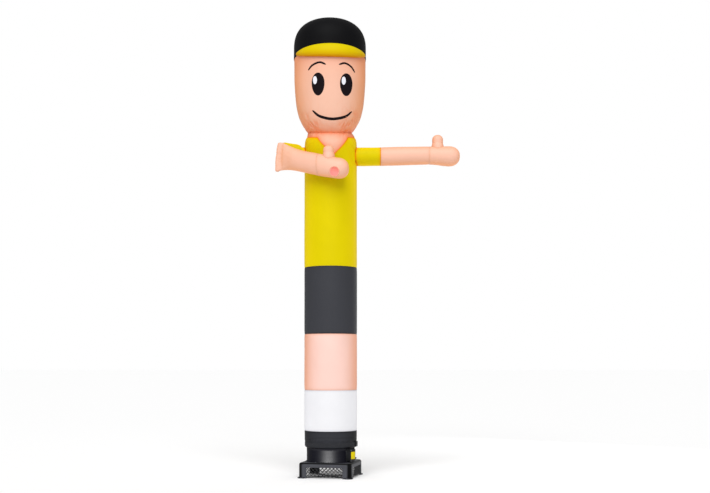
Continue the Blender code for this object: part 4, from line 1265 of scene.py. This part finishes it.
def webbing(name, code):
    """Polyester webbing: slanting ribs about 2 mm apart, read from the strap's own map."""
    material, tree, shader = new_material(name, IOR=1.5, Specular_IOR_Level=0.12)
    cut = add_node(tree, "UVMap")
    turned = add_node(tree, "Mapping", {"Vector": cut, "Rotation": (0.0, 0.0, RIB_SLANT)})
    ribs = add_node(tree, "TexWave", {"Vector": turned, "Scale": 160.0, "Distortion": 0.6}).outputs["Fac"]
    weather(tree, shader, colour(code), ribs, (0.6, 1.15), (0.75, 0.6), ribs, 0.0005, span=(0.0, 1.0))
    return material


DRUM_COAT = spun_steel("coated_spun_steel_black", "010102")
WEBBING = webbing("polyester_webbing_black", "2d2e32")
print("spun steel and webbing")

# %% [markdown]
# ## Hand tools for solid pieces
#
# The solid pieces are made the way that one works at the screen: add a block, pick some edges
# and bevel them, pick some faces and push them, then cut holes with other solids. Edges and
# faces are picked in code by where they are or which way they face.

# %% Picking, cutting and joining
def settle(piece):
    """Puts the object's place, turn and scale into its mesh."""
    pick(piece)
    bpy.ops.object.transform_apply(location=True, rotation=True, scale=True)
    return piece


def new_block(name, low, high):
    """A block between two corners, with its place in its mesh."""
    deselect_all()
    bpy.ops.mesh.primitive_cube_add(size=1.0, location=[(a + b) / 2.0 for a, b in zip(low, high)])
    piece = name_new(name)
    piece.scale = [b - a for a, b in zip(low, high)]
    return settle(piece)


def new_rod(name, radius, length, sides, middle, tilt=(0.0, 0.0, 0.0), ends="NGON"):
    """A cylinder about its middle, tilted by degrees about the three axes."""
    deselect_all()
    bpy.ops.mesh.primitive_cylinder_add(vertices=sides, radius=radius, depth=length, end_fill_type=ends,
                                        location=middle, rotation=[math.radians(part) for part in tilt])
    return settle(name_new(name))


def new_round(name, radius, low, high, sides, centre=(0.0, 0.0), ends="NGON"):
    """An upright cylinder between two heights."""
    return new_rod(name, radius, high - low, sides, (*centre, 0.5 * (low + high)), ends=ends)


def everything(*parts):
    """The test that any edge or face passes."""
    return True


def pick_edges(piece, chosen):
    """Enters edit mode with only the edges selected whose two ends pass a test."""
    points = piece.data.vertices
    pick_parts(piece, "EDGE", lambda edge: chosen(*(points[end].co for end in edge.vertices)))


def bevel_edges(piece, chosen, width, segments):
    """Rounds the picked edges."""
    pick_edges(piece, chosen)
    bpy.ops.mesh.bevel(offset=width, segments=segments, affect="EDGES")
    leave_edit()


def push_faces(piece, chosen, distance):
    """Extrudes the picked faces outwards, or inwards by less than nothing."""
    pick_faces(piece, chosen)
    bpy.ops.mesh.extrude_region_shrink_fatten(TRANSFORM_OT_shrink_fatten={"value": distance})
    leave_edit()


def combine(piece, tool, operation):
    """Cuts a tool out of a piece, or joins it on, and throws the tool away."""
    apply_modifier(piece, "BOOLEAN", object=tool, operation=operation, solver="EXACT")
    bpy.data.objects.remove(tool, do_unlink=True)


def turn_about_axis(piece, degrees):
    """Turns a piece about the upright axis through the origin."""
    piece.rotation_euler.z = math.radians(degrees)
    settle(piece)


def turned_copy(piece, degrees):
    """A copy with its own mesh, turned about the same axis."""
    copy = piece.copy()
    copy.data = piece.data.copy()
    bpy.context.scene.collection.objects.link(copy)
    turn_about_axis(copy, degrees)
    return copy


def join(pieces, name):
    """Joins pieces to one."""
    pick(pieces[0])
    for piece in pieces[1:]:
        piece.select_set(True)
    bpy.ops.object.join()
    return name_new(name)


print("tools ready")

# %% [markdown]
# ## Base
#
# The base is one moulded skirt, open below, with an arch in each side for the air. A block gets
# round corners and a round top edge, loses its floor and becomes a 4 mm shell. The arches and
# the fan's hole are cut out. Four foot pads and a flat cross brace tie its corners together.

# %% Base
BASE_HALF, BASE_HEIGHT, BASE_WALL = 0.262, 0.150, 0.004
OPENING_HALF, OPENING_TOP = 0.179, 0.105
FOOT_REACH = 0.227
FINE_CORNER = math.radians(50.0)       # edges sharper than this get a fine bevel

base = new_block("moulded_base", (-BASE_HALF, -BASE_HALF, 0.0), (BASE_HALF, BASE_HALF, BASE_HEIGHT))
bevel_edges(base, lambda a, b: abs(a.z - b.z) > 0.1, 0.055, 12)
bevel_edges(base, lambda a, b: min(a.z, b.z) > BASE_HEIGHT - 0.001, 0.020, 7)
pick_faces(base, lambda middle, normal: normal.z < -0.5)
bpy.ops.mesh.delete(type="FACE")
bpy.ops.mesh.select_all(action="SELECT")
bpy.ops.mesh.normals_make_consistent(inside=False)
leave_edit()
apply_modifier(base, "SOLIDIFY", thickness=BASE_WALL, offset=-1.0, use_even_offset=True)
for along in (1, 0):
    reach = [OPENING_HALF, OPENING_HALF]
    reach[along] = 0.4
    arch = new_block("arch", (-reach[0], -reach[1], -0.02), (reach[0], reach[1], OPENING_TOP))
    bevel_edges(arch, lambda a, b: min(a.z, b.z) > 0.1 and abs(a[along] - b[along]) > 0.1, 0.016, 6)
    combine(base, arch, "DIFFERENCE")
combine(base, new_round("fan_hole", 0.224, 0.10, 0.20, 128), "DIFFERENCE")
print("skirt", len(base.data.polygons), "faces")

# %% Feet and brace
for x in (-FOOT_REACH, FOOT_REACH):
    for y in (-FOOT_REACH, FOOT_REACH):
        foot = new_round("foot", 0.046, 0.0, 0.010, 48, (x, y))
        bevel_edges(foot, lambda a, b: min(a.z, b.z) > 0.009, 0.0025, 3)
        combine(base, foot, "UNION")
for degrees in (45.0, 135.0):
    reach = FOOT_REACH * math.sqrt(2.0)
    bar = new_block("bar", (-reach, -0.018, 0.0), (reach, 0.018, 0.004))
    turn_about_axis(bar, degrees)
    combine(base, bar, "UNION")
combine(base, new_round("disc", 0.045, 0.0, 0.0045, 48), "UNION")
apply_modifier(base, "BEVEL", width=0.0011, segments=2, limit_method="ANGLE", angle_limit=FINE_CORNER)
turn_about_axis(base, BASE_TURN)
finish(base, BASE_PLASTIC, "base_plastic", "blower_base")

# %% [markdown]
# ## Guards
#
# A panel of wire mesh behind each arch keeps fingers out of the fan. A grid of square cells is
# poked in the middle of each cell, and when its upright and level wires are dissolved, only the
# diamonds are left. The Wireframe modifier turns them to wire. One panel is made and copied.

# %% Guards
CELLS_ACROSS, CELLS_UP = 10, 3
GUARD_LOW, GUARD_HIGH = 0.014, 0.113
WIRE, GUARD_DEPTH = 0.0070, 0.0040
GUARD_PLANE = -(BASE_HALF - BASE_WALL - SEAM_GAP - 0.5 * GUARD_DEPTH)

deselect_all()
bpy.ops.mesh.primitive_grid_add(x_subdivisions=CELLS_ACROSS, y_subdivisions=CELLS_UP, size=1.0)
guard = name_new("guard_mesh")
pick_faces(guard, everything)
bpy.ops.mesh.poke()
leave_edit()
pick_edges(guard, lambda a, b: (abs(a.x - b.x) < 1e-5 and abs(a.x) < 0.499) or
           (abs(a.y - b.y) < 1e-5 and abs(a.y) < 0.499))
bpy.ops.mesh.dissolve_edges(use_verts=False)
leave_edit()
guard.scale = (2.0 * (OPENING_HALF + 0.008), GUARD_HIGH - GUARD_LOW, 1.0)
guard.rotation_euler.x = math.radians(90.0)
guard.location = (0.0, GUARD_PLANE, 0.5 * (GUARD_LOW + GUARD_HIGH))
settle(guard)
apply_modifier(guard, "WIREFRAME", thickness=WIRE, use_boundary=True, use_even_offset=False)
pick_faces(guard, everything)
bpy.ops.transform.resize(value=(1.0, GUARD_DEPTH / WIRE, 1.0), center_override=(0.0, GUARD_PLANE, 0.0))
leave_edit()
for number, name in enumerate(("guard_right", "guard_back", "guard_left", "guard_front")):
    panel = turned_copy(guard, 90.0 * (number + 1) + BASE_TURN)
    panel.name = name + "_mesh"
    finish(panel, WIRE_LACQUER, "guard_wire", name)
bpy.data.objects.remove(guard, do_unlink=True)

# %% [markdown]
# ## Drum and motor
#
# The drum starts as an open tube. Its lower edge is extruded and scaled out to make the flange
# that is screwed to the base, and the corner between them is rounded. The motor hangs in the
# middle on flat struts, and its can has cooling ribs, each a side face pushed out a little. A
# dark drum shows its shape by what it mirrors, so it has a broad lamp of its own, flagged off
# from the rest of the figure, which draws the soft highlight down its middle.

# %% Drum
DRUM_RADIUS, DRUM_LOW, DRUM_TOP, SHEET = 0.2345, 0.1503, 0.345, 0.003
FLANGE_RADIUS, FLANGE_TOP = 0.2435, DRUM_LOW + SHEET

drum = new_round("spun_drum", DRUM_RADIUS, FLANGE_TOP, DRUM_TOP, 180, ends="NOTHING")
pick_edges(drum, lambda a, b: max(a.z, b.z) < FLANGE_TOP + 0.001)
bpy.ops.mesh.extrude_region_move(TRANSFORM_OT_translate={"value": (0.0, 0.0, 0.0)})
bpy.ops.transform.resize(value=(FLANGE_RADIUS / DRUM_RADIUS, FLANGE_RADIUS / DRUM_RADIUS, 1.0),
                         center_override=(0.0, 0.0, FLANGE_TOP))
bpy.ops.mesh.select_all(action="SELECT")
bpy.ops.mesh.normals_make_consistent(inside=False)
leave_edit()
bevel_edges(drum, lambda a, b: max(a.z, b.z) < 0.154 and max(a.xy.length, b.xy.length) < DRUM_RADIUS + 0.001,
            0.0025, 3)
apply_modifier(drum, "SOLIDIFY", thickness=SHEET - SEAM_GAP, offset=-1.0, use_even_offset=True)
finish(drum, DRUM_COAT, "drum_paint", "fan_drum")
print("flange reaches", round(max(v.co.x for v in drum.data.vertices), 4))

# %% Lamp for the drum
drum_lamp = soft_box("drum_lamp", (-0.58, -3.0, 1.10), (0.0, 0.0, 0.20), 2.0, 0.8, 1650.0)
lit_pieces = bpy.data.collections.new("lit_by_drum_lamp")
lit_pieces.objects.link(drum)
drum_lamp.light_linking.receiver_collection = lit_pieces

# %% Flange screws
screw = new_round("flange_screws", 0.0034, FLANGE_TOP, FLANGE_TOP + 0.0024, 20, (0.2392, 0.0))
bevel_edges(screw, lambda a, b: min(a.z, b.z) > FLANGE_TOP + 0.002, 0.0014, 3)
screws = [turned_copy(screw, 45.0 * number + 9.0) for number in range(8)]
bpy.data.objects.remove(screw, do_unlink=True)
finish(join(screws, "flange_screws"), SCREW_ZINC, "guard_wire")

# %% Motor
RIB_DEGREES = 5.0


def every_other(across, up, degrees):
    """True for every other side of a round piece, whose sides are so many degrees wide."""
    return round(math.degrees(math.atan2(up, across)) / degrees - 0.5) % 2 == 0


motor = new_round("motor_can", 0.068, 0.168, 0.285, 72)
push_faces(motor, lambda c, n: abs(n.z) < 0.5 and every_other(c.x, c.y, RIB_DEGREES), 0.004)
pick_faces(motor, lambda c, n: n.z < -0.5 and c.xy.length < 0.01)
bpy.ops.mesh.inset(thickness=0.022)
bpy.ops.mesh.inset(thickness=0.004, depth=-0.006)
leave_edit()
for degrees in (20.0, 110.0):
    strut = new_block("strut", (-0.2303, -0.0025, 0.2155), (0.2303, 0.0025, 0.2375))
    turn_about_axis(strut, degrees)
    combine(motor, strut, "UNION")
turn_about_axis(motor, BASE_TURN)
finish(motor, BOX_PLASTIC, "box_plastic", "fan_motor")

# %% [markdown]
# ## Terminal box
#
# The mains wires end in a small box on the drum's right. Its lid is held by four screws, a thin
# groove shows where lid and box meet, and a plain yellow plate covers most of the lid. The cable
# enters at the far side through a gland, a hexagon nut with a ribbed cap.

# %% Box
BOX_TURN = -42.0
BOX_OUTER = DRUM_RADIUS + 0.060
LID_GROOVE = (BOX_OUTER - 0.0110, BOX_OUTER - 0.0098)

box = new_block("terminal_housing", (0.19, -0.035, 0.160), (BOX_OUTER, 0.035, 0.280))
bevel_edges(box, lambda a, b: abs(a.x - b.x) > 0.05, 0.005, 4)
for x in LID_GROOVE:
    pick_faces(box, everything)
    bpy.ops.mesh.bisect(plane_co=(x, 0.0, 0.0), plane_no=(1.0, 0.0, 0.0))
    leave_edit()
push_faces(box, lambda c, n: abs(n.x) < 0.5 and LID_GROOVE[0] < c.x < LID_GROOVE[1], -0.0009)
bevel_edges(box, lambda a, b: min(a.x, b.x) > BOX_OUTER - 0.0001, 0.0025, 3)
combine(box, new_round("drum_space", DRUM_RADIUS + 0.0005, 0.10, 0.40, 180), "DIFFERENCE")
turn_about_axis(box, BOX_TURN)
finish(box, BOX_PLASTIC, "box_plastic", "terminal_box")

# %% Plate, lid screws and gland
GLAND_X, GLAND_Z = BOX_OUTER - 0.026, 0.190

plate = new_block("plain_plate", (BOX_OUTER + SEAM_GAP, -0.028, 0.185), (BOX_OUTER + 0.0018, 0.028, 0.255))
bevel_edges(plate, lambda a, b: abs(a.x - b.x) > 0.001, 0.004, 4)
bevel_edges(plate, lambda a, b: min(a.x, b.x) > BOX_OUTER + 0.0017, 0.0005, 2)
turn_about_axis(plate, BOX_TURN)
finish(plate, PLATE_ENAMEL, "plate_yellow", "box_plate")

heads = []
for y in (-0.0275, 0.0275):
    for z in (0.1695, 0.2705):
        heads.append(new_rod("lid_screw", 0.0036, 0.0016, 20, (BOX_OUTER + 0.0004, y, z), (0.0, 90.0, 0.0)))
        bevel_edges(heads[-1], lambda a, b: min(a.x, b.x) > BOX_OUTER + 0.0011, 0.0007, 2)
lid_screws = join(heads, "lid_screws")
turn_about_axis(lid_screws, BOX_TURN)
finish(lid_screws, SCREW_ZINC, "guard_wire")

gland = new_rod("gland_nut", 0.0122, 0.0080, 6, (GLAND_X, 0.0393, GLAND_Z), (-90.0, 0.0, 0.0))
bevel_edges(gland, everything, 0.0008, 2)
for radius, low, high, ribbed in ((0.0090, 0.0425, 0.0610, True), (0.0068, 0.0600, 0.0750, False)):
    stage = new_rod("gland_stage", radius, high - low, 36, (GLAND_X, 0.5 * (low + high), GLAND_Z),
                    (90.0, 0.0, 0.0))
    bevel_edges(stage, lambda a, b: min(a.y, b.y) > high - 0.001, 0.0022, 3)
    if ribbed:
        push_faces(stage, lambda c, n: abs(n.y) < 0.3 and every_other(c.x - GLAND_X, c.z - GLAND_Z, 10.0),
                   0.0007)
    combine(gland, stage, "UNION")
turn_about_axis(gland, BOX_TURN)
finish(gland, BOX_PLASTIC, "box_plastic", "cable_gland")

# %% [markdown]
# ## Strap and buckle
#
# A webbing strap pulls the boot tight round the drum. It is a flat band, so it is drawn as a
# narrow panel of its own, and its ribs slant across it. The buckle is a moulded frame with a bar.

# %% Strap
STRAP_LOW, STRAP_HIGH, STRAP_OUTER = 0.301, 0.341, 0.2540
STRAP_CUT = (2.0 * math.pi * STRAP_OUTER, STRAP_HIGH - STRAP_LOW)


def place_strap(across, up):
    """The strap, a little uneven where the gathered cloth pushes against it."""
    angle = 2.0 * math.pi * across
    height = STRAP_LOW + (STRAP_HIGH - STRAP_LOW) * up
    point = Vector((STRAP_OUTER * math.cos(angle), STRAP_OUTER * math.sin(angle), height))
    crown = -0.0005 * (2.0 * up - 1.0) ** 6
    point = pushed(point, crown + 0.0005 * uneven(point, 0.05, 0.5, 91.0))
    point.z += 0.0012 * noise.noise(Vector((3.0 * math.cos(angle), 3.0 * math.sin(angle), 5.0)))
    return point, 1.0, 0.0


strap = make_panel("strap_webbing", 192, 14, place_strap, STRAP_CUT, evenly)
finish(strap, WEBBING, "black_webbing", "cinch_strap", thickness=0.0018)

# %% Buckle
BUCKLE_TURN = -14.0
buckle = new_block("buckle_frame", (0.2543, -0.029, 0.297), (0.2650, 0.029, 0.351))
bevel_edges(buckle, lambda a, b: abs(a.x - b.x) > 0.005, 0.006, 4)
window = new_block("window", (0.20, -0.016, 0.307), (0.30, 0.016, 0.341))
bevel_edges(window, lambda a, b: abs(a.x - b.x) > 0.05, 0.003, 3)
combine(buckle, window, "DIFFERENCE")
bar = new_block("bar", (0.2575, -0.004, 0.302), (0.2625, 0.004, 0.346))
combine(buckle, bar, "UNION")
apply_modifier(buckle, "BEVEL", width=0.0014, segments=2, limit_method="ANGLE", angle_limit=FINE_CORNER)
turn_about_axis(buckle, BUCKLE_TURN)
finish(buckle, BOX_PLASTIC, "box_plastic", "strap_buckle")
